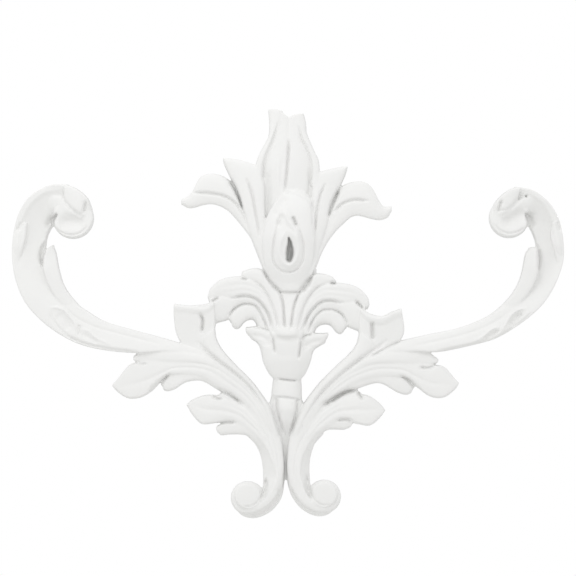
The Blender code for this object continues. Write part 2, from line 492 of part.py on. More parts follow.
def arms():
    """The two long C-scrolls, each ending in a roll, with the small leaves laid on them."""
    outer_left = [(250, 390), (236, 376), (215, 364), (190, 355), (165, 351), (140, 352.5),
                  (110, 350.3), (84.6, 345), (64.5, 336), (44.3, 321.7), (27.2, 302.4), (17.5, 280),
                  (14, 256), (15.5, 233), (21, 213), (31, 198), (46, 188.5), (57, 185.8),
                  (67, 187)]
    inner_left = [(252, 386), (232, 370), (212, 357), (195, 349), (180, 344), (158, 337.5),
                  (130, 330), (103, 321.5), (82, 308.5), (64, 297), (52, 284), (46, 272),
                  (44, 262), (46, 247), (47.5, 237), (50.5, 230), (54, 224), (58, 215),
                  (67, 210)]
    yield loft(outer_left, inner_left, (11, 12, 15, 17, 17, 18, 19, 20, 21, 20),
               (12, 14, 14, 12, 12, 13, 14, 12, 8, 15), (1, 1, 1, 0, 0), rim=1,
               flutes=((0.6, (0, 0, 0, 0, 0, 0, 1, 3, 4, 0), 0.45),), below=4)
    outer_right = [(322, 390), (336, 376), (358, 364), (384, 354), (410, 351), (436, 351.5),
                   (465, 346), (493, 338.5), (516, 325.5), (532, 313), (545, 299), (555, 281),
                   (561.5, 261), (561.5, 241), (557.5, 221), (548.5, 205), (536, 194),
                   (526, 190), (515.5, 189.3)]
    inner_right = [(320, 386), (338, 371), (360, 357), (380, 349), (400, 342), (430, 335),
                   (460, 328.5), (484, 319), (502, 308), (517, 299), (528, 286), (534, 274),
                   (537, 260), (536, 247), (534, 238), (531, 231), (527.5, 224), (524, 215),
                   (514, 209)]
    yield loft(inner_right, outer_right, (12, 14, 14, 12, 12, 13, 14, 12, 8, 15),
               (11, 12, 15, 17, 17, 18, 19, 20, 21, 20), (1, 1, 1, 0, 0), rim=1,
               flutes=((0.42, (0, 0, 0, 0, 0, 0, 2, 6, 8, 0), 0.45),), below=4)
    yield disc(73.4, 218.6, 18.9, 18.5, 0.5)
    yield disc(508.8, 218.4, 18.3, 18.5, 0.5)
    yield loft([(34, 213), (42, 205), (51, 199), (61, 198), (70, 203), (78, 208.5), (84, 215)],
               [(44, 219), (49, 214), (55, 211.5), (62, 212), (69, 214), (75, 216.5), (81, 219)],
               (8, 12, 17, 18.5, 19.5, 20), (7, 10, 16, 19, 19.5, 20), 0.8, rim=0.3)
    yield loft([(550, 212), (543, 205), (534, 199), (525, 198.5), (516, 203), (508, 208.5),
                (501, 215)],
               [(539, 219), (535, 214), (528.5, 211.5), (521, 212), (514, 214), (508, 216.5),
                (503, 219)],
               (8, 12, 17, 18.5, 19.5, 20), (7, 10, 16, 19, 19.5, 20), 0.8, rim=0.3)
    yield loft([(66.5, 202), (70, 206), (75, 210.5), (80, 214), (84.5, 217.5)],
               [(66, 187), (73, 188.8), (81, 193.7), (87.5, 200.5), (91, 209)],
               (19, 21, 22, 22, 18.5), (20.5, 22.5, 23, 22, 17.5), (0.5, 1, 1, 0.5))
    yield loft([(518, 189.4), (510, 191.3), (502.5, 196.3), (496, 203.5), (491.7, 212)],
               [(515, 203), (512, 206.5), (507.5, 210), (503, 213), (498.5, 217)],
               (20.5, 22.5, 23, 22, 17.5), (19, 21, 22, 22, 18.5), (0.5, 1, 1, 0.5))
    yield loft([(43, 208), (45, 218), (49, 225)], [(63, 208), (61, 218), (56, 224.5)], 6, 6, 0)
    yield loft([(517, 208), (520, 218), (526, 224.5)], [(537, 208), (535, 218), (531, 225)],
               6, 6, 0)
    yield loft([(47.5, 251), (44.5, 262), (47.5, 278), (56, 296), (72, 313), (92, 325)],
               [(52.5, 247.5), (55, 254), (58.5, 272), (64.5, 289), (79, 307), (97, 321)],
               (18, 19.5, 17, 15, 12, 9), (13, 15.5, 15, 13, 11, 9), 1, bow=(1, 0))
    yield loft([(530, 249.5), (526.5, 255), (522.5, 275), (515.5, 291), (502, 307), (486, 319.5)],
               [(536, 250), (537, 262), (534, 280), (524, 297), (508, 314), (491, 325)],
               (13, 15.5, 15, 13, 11, 9), (18, 19.5, 17, 15, 12, 9), 1, bow=(1, 0))
    yield loft([(22, 225), (17.5, 236), (15.5, 250), (18.5, 266)],
               [(26.5, 225), (26, 236), (22.5, 250), (20, 268)], (19, 19.5, 16), (20.5, 20.5, 16), 0.3)
    yield loft([(552.5, 224), (551, 236), (554.5, 250), (558, 266)],
               [(556.5, 223), (559, 235), (560.5, 250), (559.5, 268)],
               (20.5, 20.5, 16), (19, 19.5, 16), 0.3)


# Creases and ridges worked in after fusing: points, half width, depth (less than 0 raises)
STROKES = (
    # Tall petals: the groove between them, the folds beside their rims, the shaded hollows
    (((288.8, 142), (288.3, 155), (287, 172), (284.8, 192)), 1.3, 4.2),
    (((282, 160), (281, 175), (281, 190)), 1.6, 1.2),
    (((278, 124), (274.5, 136), (270, 147), (266, 157), (263.5, 168), (263, 182)), 1.3, 3.2),
    (((299, 128), (301.5, 139), (306.5, 149), (310, 160), (311.5, 172), (310, 186)), 1.2, 3.2),
    (((267, 172), (267.5, 190), (268, 212)), 3.4, 2.4),
    (((309.5, 170), (309.5, 186), (308, 198)), 2.0, 1.6),
    (((311.5, 202), (312.4, 214), (312.8, 228)), 1.1, 2.4),
    # Second petals: the fold down each blade
    (((247, 180), (252, 194), (254.5, 207), (257, 220), (259.5, 236)), 1.2, 3.5),
    (((325, 185), (320.5, 195), (317.5, 207), (315.5, 220), (314, 236)), 1.2, 3.5),
    # The slits between the second and the outer petals
    (((230, 180), (235, 188.5), (239.5, 199), (243, 210)), (2.2, 1.6, 0.6), 7.5),
    (((338.5, 189), (336, 195.5), (332, 204), (328, 217)), (1.7, 1.8, 1.0), 8.0),
    # Outer petals: the valley under the upper band
    (((194, 193), (205, 193), (217, 194.5), (227, 197.5), (236, 204), (243, 213)), 1.3, 3.8),
    (((368, 201), (356, 200), (348, 201.5), (341, 205), (334, 212)), 1.3, 3.8),
    # Bud: the lip around the drop, the groove outside it, the drop and the dimples above
    (((288, 230), (282, 238), (279.5, 250), (282, 261), (289, 266), (296, 260), (298.5, 249),
      (295.5, 238), (288, 230)), 2.4, -2.0),
    (((279, 222), (276.5, 231), (273.5, 246), (273.5, 261), (279, 269.5), (288, 272.5),
      (297, 269.5), (302.5, 261), (303.5, 247), (300.5, 234), (295, 222)), 1.1, 2.6),
    (((280.6, 217.5), (279, 224)), 2.7, 3.6),
    (((293.4, 218.5), (296, 225)), 1.4, 5.0),
    (((299, 240), (295, 231), (289, 222), (284, 211)), 2.1, -2.0),
    (((287, 199), (281, 206), (275, 217)), (2.6, 3.6, 2.6), 2.4),
    (((269, 214), (275, 204.5), (282, 197), (288.5, 192), (296, 193), (304, 198), (309, 207)),
     1.5, -1.4),
    (((263, 270), (271, 283), (279.5, 291.5)), (1.2, 1.7), 6.5),
    (((311.5, 276), (307, 284), (301, 292)), (1.6, 2.7, 2.2), 8.0),
    (((279, 292), (300, 292)), 1.1, 2.4),
    # Palmette: the lines between the lobes
    (((280, 293), (283, 305), (284.9, 329)), 1.1, 4.5),
    (((299, 293), (294, 307), (290.7, 329)), 1.1, 4.5),
    (((232, 298.5), (245, 296), (258, 300), (268.5, 314), (273, 330)), 1.3, 4.0),
    (((302, 330), (309.5, 313), (320, 302.5), (330, 300.5), (342, 303)), 1.3, 4.0),
    (((229, 318), (233, 310.5), (240, 305.5), (248, 304), (257, 307.5), (264, 320),
      (268, 332)), 1.1, 4.6),
    (((347, 323), (342, 315), (336, 311), (330, 309.5), (321, 311), (313, 320), (308, 332)),
     1.1, 4.6),
    (((253, 281), (262, 287), (269, 298), (275, 313), (278.5, 328)), 1.0, 2.0),
    (((326, 284.5), (317, 288), (309, 297), (303, 309), (298.5, 328)), 1.0, 2.0),
    (((212, 301.5), (215.5, 299.5), (218.5, 297.5)), 1.4, 4.5),
    (((363, 309), (359.5, 305), (356, 301.5)), 1.4, 6.0),
    (((331.5, 283), (334.5, 283.3)), 1.4, 6.0),
    (((242.5, 278.7), (246, 279.5)), 1.2, 4.0),
    # Cup: the folds of its front petal and the line over the collar
    (((252, 335.5), (259, 336), (266, 339), (270, 346)), 2.2, 1.5),
    (((322, 340.5), (315, 341.5), (308, 344.5), (304, 351)), 2.2, 1.5),
    (((276, 338.5), (283, 338.5), (291, 339), (298, 338.5)), 2.4, 1.4),
    (((273, 337), (274, 344), (275.2, 352)), 1.1, 4.5),
    (((301, 339.5), (300, 348), (298.7, 358)), 1.1, 4.5),
    (((300, 339), (305, 336), (312, 334)), 1.0, 4.0),
    (((254, 327.3), (262, 328.5), (271, 331.5)), 0.9, 3.0),
    (((279, 378.3), (286, 379.5), (296, 380.3)), 1.0, 5.0),
    (((272.5, 396.5), (286, 397), (301, 399.5)), 1.0, 3.0),
    (((277.5, 397.5), (277.3, 408), (280.3, 420), (284.5, 434)), 1.2, 2.6),
    (((296.2, 400), (296.5, 410), (293.7, 422), (290.5, 435)), 1.2, 2.6),
    (((273.5, 400), (272.8, 410), (276, 424), (280, 436)), 0.9, 1.5),
    # Ears: the pits under the rolled band
    (((200.5, 314), (203, 321), (202, 332)), 1.4, 6.0),
    (((372, 324), (372.5, 337)), 1.8, 6.0),
    # Stems: the broad dark line beside each rib
    (((198, 342), (208, 351.5), (220, 361.5), (238, 375), (252, 389), (262, 404)), 1.6, 2.8),
    (((386, 341), (371, 352), (357, 361), (341, 373.5), (326, 387), (315, 400)), 1.6, 2.4),
    (((401, 341), (392, 345), (382, 350), (370, 357)), 1.2, 3.4),
    # Acanthus: the deep slot between the two leaves and the pockets between their lobes
    (((217, 389.5), (226, 392), (235, 397.5), (243, 404)), (1.9, 1.3), 4.0),
    (((356, 389.5), (345, 392), (333, 398.5), (323, 405)), 2.0, 8.0),
    (((137, 362.3), (141, 364), (147, 363.7)), 1.4, 2.6),
    (((434, 365.5), (429, 367.5), (420, 367.5)), 1.4, 4.0),
    (((151, 392), (156.5, 387), (161.5, 381.5), (166, 377), (170.5, 373.5)),
     (2.8, 2.8, 2.0, 1.0), 5.8),
    (((419, 390), (413, 385), (407, 379), (400, 375.5)), (2.4, 1.8, 1.0), 5.2),
    (((220, 423), (226, 422), (235, 422)), 1.4, 4.5),
    (((352, 420.5), (345, 419), (337, 420)), 1.4, 4.5),
    (((212.5, 395.5), (216.5, 398), (222, 399)), 1.4, 4.5),
    (((358, 391.5), (359.5, 395), (362, 399)), 1.3, 6.0),
    # Feet: the crescent beside each boss and the fine line around it
    (((263, 484), (262.5, 492), (258, 500.5), (251, 505.5), (244, 505.5)), 1.1, 1.6),
    (((266.2, 478), (264.8, 489), (261, 498)), (1.0, 2.4, 1.6), 5.0),
    (((309.5, 484), (310.5, 492), (315, 500), (321.5, 504.3), (329, 504)), 1.1, 1.6),
    (((306.6, 476), (307.8, 488), (312, 498)), (1.2, 3.0, 1.8), 5.5),
    # Feet: the shaded strip along the lower edge
    (((281, 487), (277.5, 498.5), (268.5, 508.8), (255.5, 514.6), (245, 513)), 1.6, 3.5),
    (((290.5, 487), (294.5, 495.5), (302.8, 505.8), (315.5, 512.8), (325, 512.3)), 1.6, 3.5),
    # Feet: the fine lines down each stem
    (((259, 424), (267, 437), (271.5, 450), (275, 466), (275.5, 480)), 0.9, 0.9),
    (((267, 424), (273, 438), (276.5, 452), (279, 468)), 0.9, 0.7),
    (((312, 424), (303, 437), (297, 450), (294, 466), (295, 480)), 0.9, 0.9),
    # Arms: the light rim along the outer edge and the step inside it
    (((17, 258), (18.5, 240), (23, 219), (32, 203), (46, 192.5), (60, 190)), 2.2, -1.2),
    (((559, 258), (557, 240), (552, 221), (543, 204), (531, 195), (521, 193.5)), 2.2, -1.2),
    # Arms: the pits beside the tongues, and the hole inside each roll
    (((46.5, 242), (43.5, 249), (42, 257), (43, 266)), (1.6, 2.4, 1.4), 8.0),
    (((535.5, 244), (538, 251), (538.5, 259), (537.5, 270)), (1.6, 2.4, 1.4), 3.2),
    (((50, 224), (52.5, 218.5)), 3.6, 5.0),
    (((531.5, 224), (529, 218)), 3.6, 5.0),
    # Arms: the small leaf along the outer edge, and the pit at its tip
    (((27.7, 227), (27, 237), (23.7, 250), (20, 263)), 1.3, 1.4),
    (((19.5, 229), (22, 224.5)), 1.7, 3.4),
    (((550.7, 227), (551.7, 237), (554.8, 248), (558.5, 258)), 1.3, 1.4),
    (((559, 229), (557, 223.5)), 1.9, 3.0),
    # Rolls: the ring around the bowl, and the edge of the leaf laid over it
    (((57.5, 229), (63, 233), (72, 235.2), (81, 233), (88, 227)), 1.0, 1.8),
    (((524, 228), (517, 232), (508.5, 233.5), (500, 231), (494, 225)), 1.0, 1.8),
    (((64, 190), (64.2, 195.5), (64, 201)), 1.3, 1.0),
    (((64.5, 201), (70, 207), (76, 212), (82.5, 216.5)), 1.6, 1.8),
    (((521, 192.5), (517.5, 199), (513.5, 205), (508.5, 209)), 2.1, 1.9),
    (((509, 208.5), (504, 210.5), (498, 211)), 1.4, 1.8),
    (((67, 222), (77, 222)), 6.0, 5.0),
    (((519.5, 214.5), (509, 220.5)), 6.2, 6.5),
    (((86.5, 202), (85.5, 207), (85, 212.5)), 1.5, 4.5),
    (((501, 201), (499, 206), (498, 211.5)), 1.5, 4.5),
    # Arms: the shaded strip along the lower edge
    (((64, 334.5), (85, 343.5), (110, 349), (138, 352.3)), 1.5, 3.0),
    (((438, 351.3), (465, 346), (493, 338.5), (515, 326), (530, 314)), 1.5, 3.0),
    # Arms: the faint line that runs on from each tongue, and the leaves under the bend
    (((60, 302), (76, 317), (96, 327), (125, 335), (160, 344)), 1.5, 0.8),
    (((512, 309), (496, 321), (474, 331), (445, 339), (412, 346)), 1.5, 0.8),
    (((52, 308), (58, 307.5), (65, 310.5), (70, 316), (76, 324), (79, 334)), 1.3, -1.5),
    (((58, 314), (65, 320), (70, 330)), 4.0, 2.0),
    (((52, 311), (53, 318), (60, 328), (70, 336)), 1.2, 1.2),
    (((80, 326), (79.5, 334)), 1.1, 1.6),
    (((82, 329), (89, 331), (97, 338), (110, 344)), 1.3, -1.0),
    (((83, 334), (90, 338), (98, 342.5)), 2.2, 1.6),
    (((525, 308.5), (518, 309.5), (511, 314.5), (506, 322), (501, 330)), 1.3, -1.5),
    (((521.5, 313), (515.5, 318), (510, 327)), (2.4, 3.6, 3.0), 5.0),
    (((498, 326.5), (491, 329), (484, 335), (474, 341)), 1.3, -1.2),
    (((498, 330.5), (491.5, 334.5), (484, 339)), (1.8, 2.8, 2.0), 4.0),
)

# Holes with steep sides: points, half width, depth
HOLES = (
    (((288.8, 238), (289.8, 243), (290, 249), (289.8, 254.5), (289.3, 259.2)),
     (0.7, 1.9, 3.1, 3.5, 2.7), 18.5),
    (((54, 225.5), (53.3, 220.5), (56.8, 215)), (1.2, 2.2, 1.3), 10.0),
    (((528.2, 225), (528.4, 220), (526, 214.5)), (1.4, 2.6, 1.6), 11.0),
    (((525.3, 196), (525.5, 197.2)), 0.7, 5.0),
)


def work_strokes(points, strokes, power=2, ends=0.3):
    """Press every crease into the front, deepest on its line.

    A higher power gives steeper sides, and ends is the share of the depth left at both ends.
    The pits, whose routes have only two points, keep their full depth.
    """
    x = points[:, 0] / MM + SHEET_X
    y = SHEET_Y - points[:, 2] / MM
    height = -points[:, 1] / MM
    for route, half, depth in strokes:
        line = spline(route, STROKE_POINTS)
        marks = np.linspace(0, 1, STROKE_POINTS)
        widths = np.interp(marks, np.linspace(0, 1, np.size(half)), np.atleast_1d(half))
        reach = STROKE_REACH * widths.max()
        near = ((x > line[:, 0].min() - reach) & (x < line[:, 0].max() + reach)
                & (y > line[:, 1].min() - reach) & (y < line[:, 1].max() + reach)
                & (height > FLOOR))
        chosen = np.nonzero(near)[0]
        spots = np.stack([x[chosen], y[chosen]], axis=1)
        begin, step = line[:-1], np.diff(line, axis=0)
        length = np.maximum((step ** 2).sum(axis=1), 1e-9)
        along = np.clip(((spots[:, None, :] - begin) * step).sum(axis=2) / length, 0, 1)
        away = np.linalg.norm(spots[:, None, :] - begin - along[..., None] * step, axis=2)
        closest = away.argmin(axis=1)
        rows = np.arange(len(chosen))
        place = (closest + along[rows, closest]) / len(step)
        fade = 1.0
        if len(route) > 2:
            fade = np.clip(np.minimum(place, 1 - place) * STROKE_FADE + ends, 0, 1)
        spread = away[rows, closest] / np.interp(place, marks, widths)
        press = depth * fade * np.exp(-spread ** power)
        height[chosen] = np.maximum(height[chosen] - press, np.minimum(height[chosen], FLOOR))
    points[:, 1] = -height * MM


def apply_modifiers(item):
    """Bake the object's modifiers into its mesh."""
    bpy.context.view_layer.update()
    view = bpy.context.evaluated_depsgraph_get()
    mesh = bpy.data.meshes.new_from_object(item.evaluated_get(view))
    item.modifiers.clear()
    item.data = mesh


def joined_mesh(solids):
    """Put all closed solids into one mesh, still overlapping."""
    points, faces, shift = [], [], 0
    for solid_points, solid_faces in solids:
        points.append(solid_points)
        faces += [tuple(corner + shift for corner in face) for face in solid_faces]
        shift += len(solid_points)
    mesh = bpy.data.meshes.new(CASTING)
    mesh.from_pydata(np.concatenate(points).tolist(), [], faces)
    return mesh


def soften(item, rounds):
    """Add a modifier that smooths the object."""
    smooth = item.modifiers.new("soften", "SMOOTH")
    smooth.factor = 0.5
    smooth.iterations = rounds


def fuse(item):
    """Fuse the overlapping solids into one smooth skin."""
    remesh = item.modifiers.new("fuse", "REMESH")
    remesh.mode = "VOXEL"
    remesh.voxel_size = VOXEL
    soften(item, SMOOTH_BEFORE)
    apply_modifiers(item)


def work_creases(item):
    """Work the creases and ridges into the object's own mesh."""
    points = np.empty(len(item.data.vertices) * 3)
    item.data.vertices.foreach_get("co", points)
    points = points.reshape(-1, 3)
    work_strokes(points, STROKES)
    work_strokes(points, HOLES, power=4, ends=1)
    item.data.vertices.foreach_set("co", points.ravel())
    item.data.update()


def wall_cutter(collection):
    """The block behind the wall, which cuts the back flat."""
    mesh = bpy.data.meshes.new("wall_cutter")
    block = bmesh.new()
    bmesh.ops.create_cube(block, size=1.0)
    bmesh.ops.scale(block, vec=(WALL_SIDE, WALL_DEPTH, WALL_SIDE), verts=block.verts)
    bmesh.ops.translate(block, vec=(0.0, WALL_DEPTH / 2, 0.0), verts=block.verts)
    block.to_mesh(mesh)
    block.free()
    cutter = bpy.data.objects.new("wall_cutter", mesh)
    cutter.hide_render = True
    cutter.display_type = "WIRE"
    collection.objects.link(cutter)
    return cutter


def casting_material():
    """White primer on the casting."""
    material = bpy.data.materials.new("white_primer")
    material.use_nodes = True
    shader = material.node_tree.nodes["Principled BSDF"]
    shader.inputs["Base Color"].default_value = CASTING_COLOUR
    shader.inputs["Roughness"].default_value = CASTING_ROUGHNESS
    shader.inputs["Metallic"].default_value = 0.0
    return material


def new_collection(name):
    """A collection of the open scene."""
    collection = bpy.data.collections.new(name)
    bpy.context.scene.collection.children.link(collection)
    return collection


def build():
    """Make the casting."""
    clear_scene()
    collection = new_collection(ORNAMENT)
    cutters = new_collection("cutters")
    solids = []
    for group in (webs, lily, palmette, cup, stems, feet, acanthus, arms):
        solids += list(group())
    casting = bpy.data.objects.new(CASTING, joined_mesh(solids))
    collection.objects.link(casting)
    fuse(casting)
    work_creases(casting)
    soften(casting, SMOOTH_AFTER)
    reduce = casting.modifiers.new("reduce", "DECIMATE")
    reduce.ratio = TRIANGLES / (2 * len(casting.data.polygons))
    trim = casting.modifiers.new("flat back", "BOOLEAN")
    trim.operation = "DIFFERENCE"
    trim.solver = "EXACT"
    trim.object = wall_cutter(cutters)
    casting.data.materials.append(casting_material())
    casting.data.shade_smooth()


build()
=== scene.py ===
"""Ceiling corner moulding: the finely carved casting of scrolls and lily, and its stage.

The ornament is drawn on a sheet in millimetres, x to the right and y down, as it hangs on
the wall. Every leaf, petal and scroll is a loft between two edges of that drawing. The lofts
are fused into one skin, the creases are worked in, and the back is cut flat at the wall.
"""

import json
import math

import bmesh
import bpy
import numpy as np
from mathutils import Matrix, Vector


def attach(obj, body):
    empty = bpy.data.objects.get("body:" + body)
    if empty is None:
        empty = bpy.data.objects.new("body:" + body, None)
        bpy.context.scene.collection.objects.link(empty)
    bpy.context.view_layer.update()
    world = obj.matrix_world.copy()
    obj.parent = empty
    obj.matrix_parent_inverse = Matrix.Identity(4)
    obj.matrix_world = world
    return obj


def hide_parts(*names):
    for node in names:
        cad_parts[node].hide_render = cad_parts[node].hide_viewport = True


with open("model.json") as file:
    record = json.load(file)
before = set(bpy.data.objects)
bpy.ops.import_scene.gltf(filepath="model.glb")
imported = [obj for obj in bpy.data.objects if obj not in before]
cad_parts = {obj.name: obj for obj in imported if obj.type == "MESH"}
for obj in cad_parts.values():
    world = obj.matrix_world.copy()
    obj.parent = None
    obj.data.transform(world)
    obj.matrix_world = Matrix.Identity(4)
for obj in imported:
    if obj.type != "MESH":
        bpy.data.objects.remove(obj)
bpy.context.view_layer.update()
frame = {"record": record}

bl_info = {
    "name": "Ceiling Corner Moulding",
    "version": (1, 0, 0),
    "blender": (4, 5, 0),
    "location": "3D View > Sidebar > Moulding",
    "description": "Builds a cast ceiling ornament of scrolls and lily, and the stage for it",
    "category": "Object",
}

# Real size of one millimetre of the drawing, in metres
MM = 0.001

# Where the mount lies on the drawing sheet, in millimetres
SHEET_X = 286.5
SHEET_Y = 314.0

# How far every loft runs through the wall before the back is cut, in millimetres
RUN_THROUGH = 5.0

# How far the foot of a wall lies outside the drawn edge, in millimetres
REACH = 2.0

# How far a side wall leans out from front to foot, and how far where it faces down
LEAN = 0.7
LEAN_BELOW = 1.8

# The casting keeps at least this much material in front of the wall, in millimetres
FLOOR = 3.0

# Width of the rounding along the edge of a loft, in millimetres
EDGE_ROUND = 1.6

# How boxy the middle of a loft is: 2 is a round arch, more is flatter
ARCH = 2.8

# Lofts narrower than this have a lower crown, in millimetres
FULL_CROWN = 8.0

# The edge rounding takes this share of a quarter circle, so that no wall starts upright
ROUND_SHARE = 0.98

# Samples along and across one loft, and how many of them its bowed ends take
ALONG = 60
ACROSS = 21
BOW_REACH = 7

# First and last row of a loft, each with the row inside it that gives its direction
FIRST_ROWS = (0, 3)
LAST_ROWS = (-1, -4)

# Lengths under this count as nothing
TINY = 1e-6

# Steps from knot to knot of a curve, and samples on each side that soften graded values
SPLINE_STEPS = 12
SOFTEN_REACH = 3

# Spokes and rings of a disc
DISC_TURNS = 48
DISC_RINGS = 14

# Samples of a crease, its reach in half widths, and how steeply its ends fade
STROKE_POINTS = 28
STROKE_REACH = 3
STROKE_FADE = 5

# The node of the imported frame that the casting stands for, and its finish there
CASTING = "scroll_and_lily_casting"
PRIMER = frame["record"]["materials"][0]["base_color"]

# Side and depth of the block that cuts the back flat, in metres
WALL_SIDE = 0.8
WALL_DEPTH = 0.05

# A face whose normal points this far into the wall belongs to the flat back
BACK_FACING = 0.95

# How far one round of smoothing moves a point to the middle of its neighbours
SMOOTHING = 0.5

# Primer: how much it shines, its darker tone, and the spread of its roughness
SPECULAR = 0.25
SHADE = 0.975
GLOSS_SPREAD = 0.06

# Primer: clouds a metre, their fine detail, and where they turn from dark to light
CLOUDS = 22.0
CLOUD_DETAIL = 3.0
TONE_STOPS = (0.3, 0.7)

# Primer: grains a metre, their fine detail, depth and strength
GRAINS = 700.0
GRAIN_DETAIL = 2.0
GRAIN_DEPTH = 0.2 * MM
GRAIN_STRENGTH = 0.08

# The colour that the camera sees around the casting
WHITE = (1.0, 1.0, 1.0, 1.0)

# Direction that most of the surround's light comes from
LIGHT_FROM = (-0.05, -0.5, 0.86)

# Place and side of the square key light, in metres
KEY_PLACE = (-0.35, -0.9, 0.95)
KEY_SIDE = 0.8

# The painted floor
FLOOR_COLOUR = (0.8, 0.8, 0.79)
FLOOR_ROUGHNESS = 0.8

# The image is taken as this many pixels square, on a sensor this many millimetres wide
IMAGE_WIDTH = 576
SENSOR = 36.0


def spline(points, count):
    """Return count points, evenly spaced, on a smooth curve through the given points."""
    knots = np.array(points, dtype=float)
    extended = np.vstack([2 * knots[0] - knots[1], knots, 2 * knots[-1] - knots[-2]])
    steps = np.linspace(0, 1, SPLINE_STEPS, endpoint=False)[:, None]
    pieces = []
    for index in range(1, len(extended) - 2):
        a, b, c, d = extended[index - 1:index + 3]
        pieces.append(0.5 * (2 * b + (c - a) * steps + (2 * a - 5 * b + 4 * c - d) * steps ** 2
                             + (3 * b - a - 3 * c + d) * steps ** 3))
    curve = np.vstack(pieces + [knots[-1:]])
    gaps = np.linalg.norm(np.diff(curve, axis=0), axis=1)
    run = np.concatenate([[0.0], np.cumsum(gaps)])
    wanted = np.linspace(0, run[-1], count)
    return np.stack([np.interp(wanted, run, curve[:, axis]) for axis in (0, 1)], axis=1)


def graded(values, count):
    """Spread a few values evenly over count samples, softened between them."""
    if np.isscalar(values):
        return np.full(count, float(values))
    places = np.linspace(0, 1, len(values))
    wanted = np.linspace(0, 1, count)
    spread = np.interp(wanted, places, values)
    padded = np.concatenate([np.full(SOFTEN_REACH, spread[0]), spread,
                             np.full(SOFTEN_REACH, spread[-1])])
    window = 2 * SOFTEN_REACH + 1
    return np.convolve(padded, np.full(window, 1 / window), mode="valid")


def unit(vectors, least):
    """The vectors at a length of one, or shorter where they were shorter than least."""
    return vectors / np.maximum(np.linalg.norm(vectors, axis=-1, keepdims=True), least)


def lean(outward, below):
    """How far a side wall leans out from front to foot, most where it faces down."""
    return LEAN + (below - LEAN) * np.clip(outward[..., 1:], 0, 1)


def loft(left, right, rise_left, rise_right, crown, rim=0.9, bow=(0, 0), flutes=(),
         below=LEAN_BELOW):
    """One leaf, petal or band between two edges of the drawing.

    rise_left and rise_right are the heights off the wall along each edge, crown is how much
    the middle stands above them, rim is how far the edge rounds down, bow pushes the first
    and the last section outwards, each flute is (place across, depth, half width), and below
    is how far the walls lean out where they face down.
    """
    edge_left = spline(left, ALONG)
    edge_right = spline(right, ALONG)
    across = unit(edge_left - edge_right, 1.0)
    edge_left = edge_left + across * (REACH - lean(across, below))
    edge_right = edge_right - across * (REACH - lean(-across, below))
    t = 0.5 - 0.5 * np.cos(np.pi * np.linspace(0, 1, ACROSS))[None, :]
    plan = edge_left[:, None, :] * (1 - t[..., None]) + edge_right[:, None, :] * t[..., None]
    width = np.linalg.norm(edge_right - edge_left, axis=1)[:, None]
    height = graded(rise_left, ALONG)[:, None] * (1 - t) + graded(rise_right, ALONG)[:, None] * t
    arch = 1 - np.abs(2 * t - 1) ** ARCH
    height = height + graded(crown, ALONG)[:, None] * arch * np.clip(width / FULL_CROWN, 0, 1)
    for place, depth, half in flutes:
        offset = (t - graded(place, ALONG)[:, None]) / half
        height = height - graded(depth, ALONG)[:, None] * np.exp(-offset ** 2)
    fall = np.clip(1 - np.minimum(t, 1 - t) * width / EDGE_ROUND, 0, 1)
    height = height - rim * (1 - np.sqrt(1 - ROUND_SHARE * fall ** 2))
    bulge = 4 * t.T * (1 - t.T)
    for sign, end, inner, push in ((1, *FIRST_ROWS, bow[0]), (-1, *LAST_ROWS, bow[1])):
        ahead = edge_left[end] + edge_right[end] - edge_left[inner] - edge_right[inner]
        outward = unit(ahead, TINY)
        for index in range(BOW_REACH):
            fade = 1 - index / BOW_REACH
            plan[end + sign * index] += push * fade * bulge * outward
        plan[end] += (REACH - lean(outward, below)) * outward
    return relief(plan, height, spread_foot(plan, below))


def pair(left_outer, left_inner, right_inner, right_outer, outer, inner, crown, flutes=(),
         **more):
    """A form and its counterpart on the other side.

    Each side has its own edges. The heights along its outer and inner edge, the crown and
    everything else are the same on both sides.
    """
    turned = [(1 - place, depth, half) for place, depth, half in flutes]
    yield loft(left_outer, left_inner, outer, inner, crown, flutes=flutes, **more)
    yield loft(right_inner, right_outer, inner, outer, crown, flutes=turned, **more)


def disc(x, y, radius, rise, crown, rim=2.0):
    """A round boss: rings from the middle to the edge."""
    turns = np.linspace(0, 2 * math.pi, DISC_TURNS)
    rings = np.linspace(0, 1, DISC_RINGS)
    centre = np.array([x, y])
    spokes = np.stack([np.cos(turns), np.sin(turns)], axis=-1)
    front = radius + REACH - lean(spokes, LEAN_BELOW)
    plan = centre + front * rings[:, None, None] * spokes
    foot = centre + (radius + REACH) * rings[:, None, None] * spokes
    fall = np.clip(1 - (1 - rings) * radius / EDGE_ROUND, 0, 1)
    height = rise + crown * (1 - rings ** 2) - rim * (1 - np.sqrt(1 - ROUND_SHARE * fall ** 2))
    return relief(plan, np.repeat(height[:, None], len(turns), axis=1), foot)


def spread_foot(plan, below):
    """The plan of a loft's foot: its border lies outside the front edge by the lean."""
    foot = plan.copy()
    middle = plan[:, plan.shape[1] // 2]
    for side in (0, -1):
        outward = unit(plan[:, side] - middle, 1.0)
        foot[:, side] += outward * lean(outward, below)
    for end, inner in (FIRST_ROWS, LAST_ROWS):
        outward = unit(middle[end] - middle[inner], TINY)
        foot[end] += outward * lean(outward, below)
    return foot


def on_wall(sheet, height):
    """The places in metres of drawing points at these heights off the wall."""
    return np.stack([(sheet[..., 0] - SHEET_X) * MM, -height * MM,
                     (SHEET_Y - sheet[..., 1]) * MM], axis=-1)


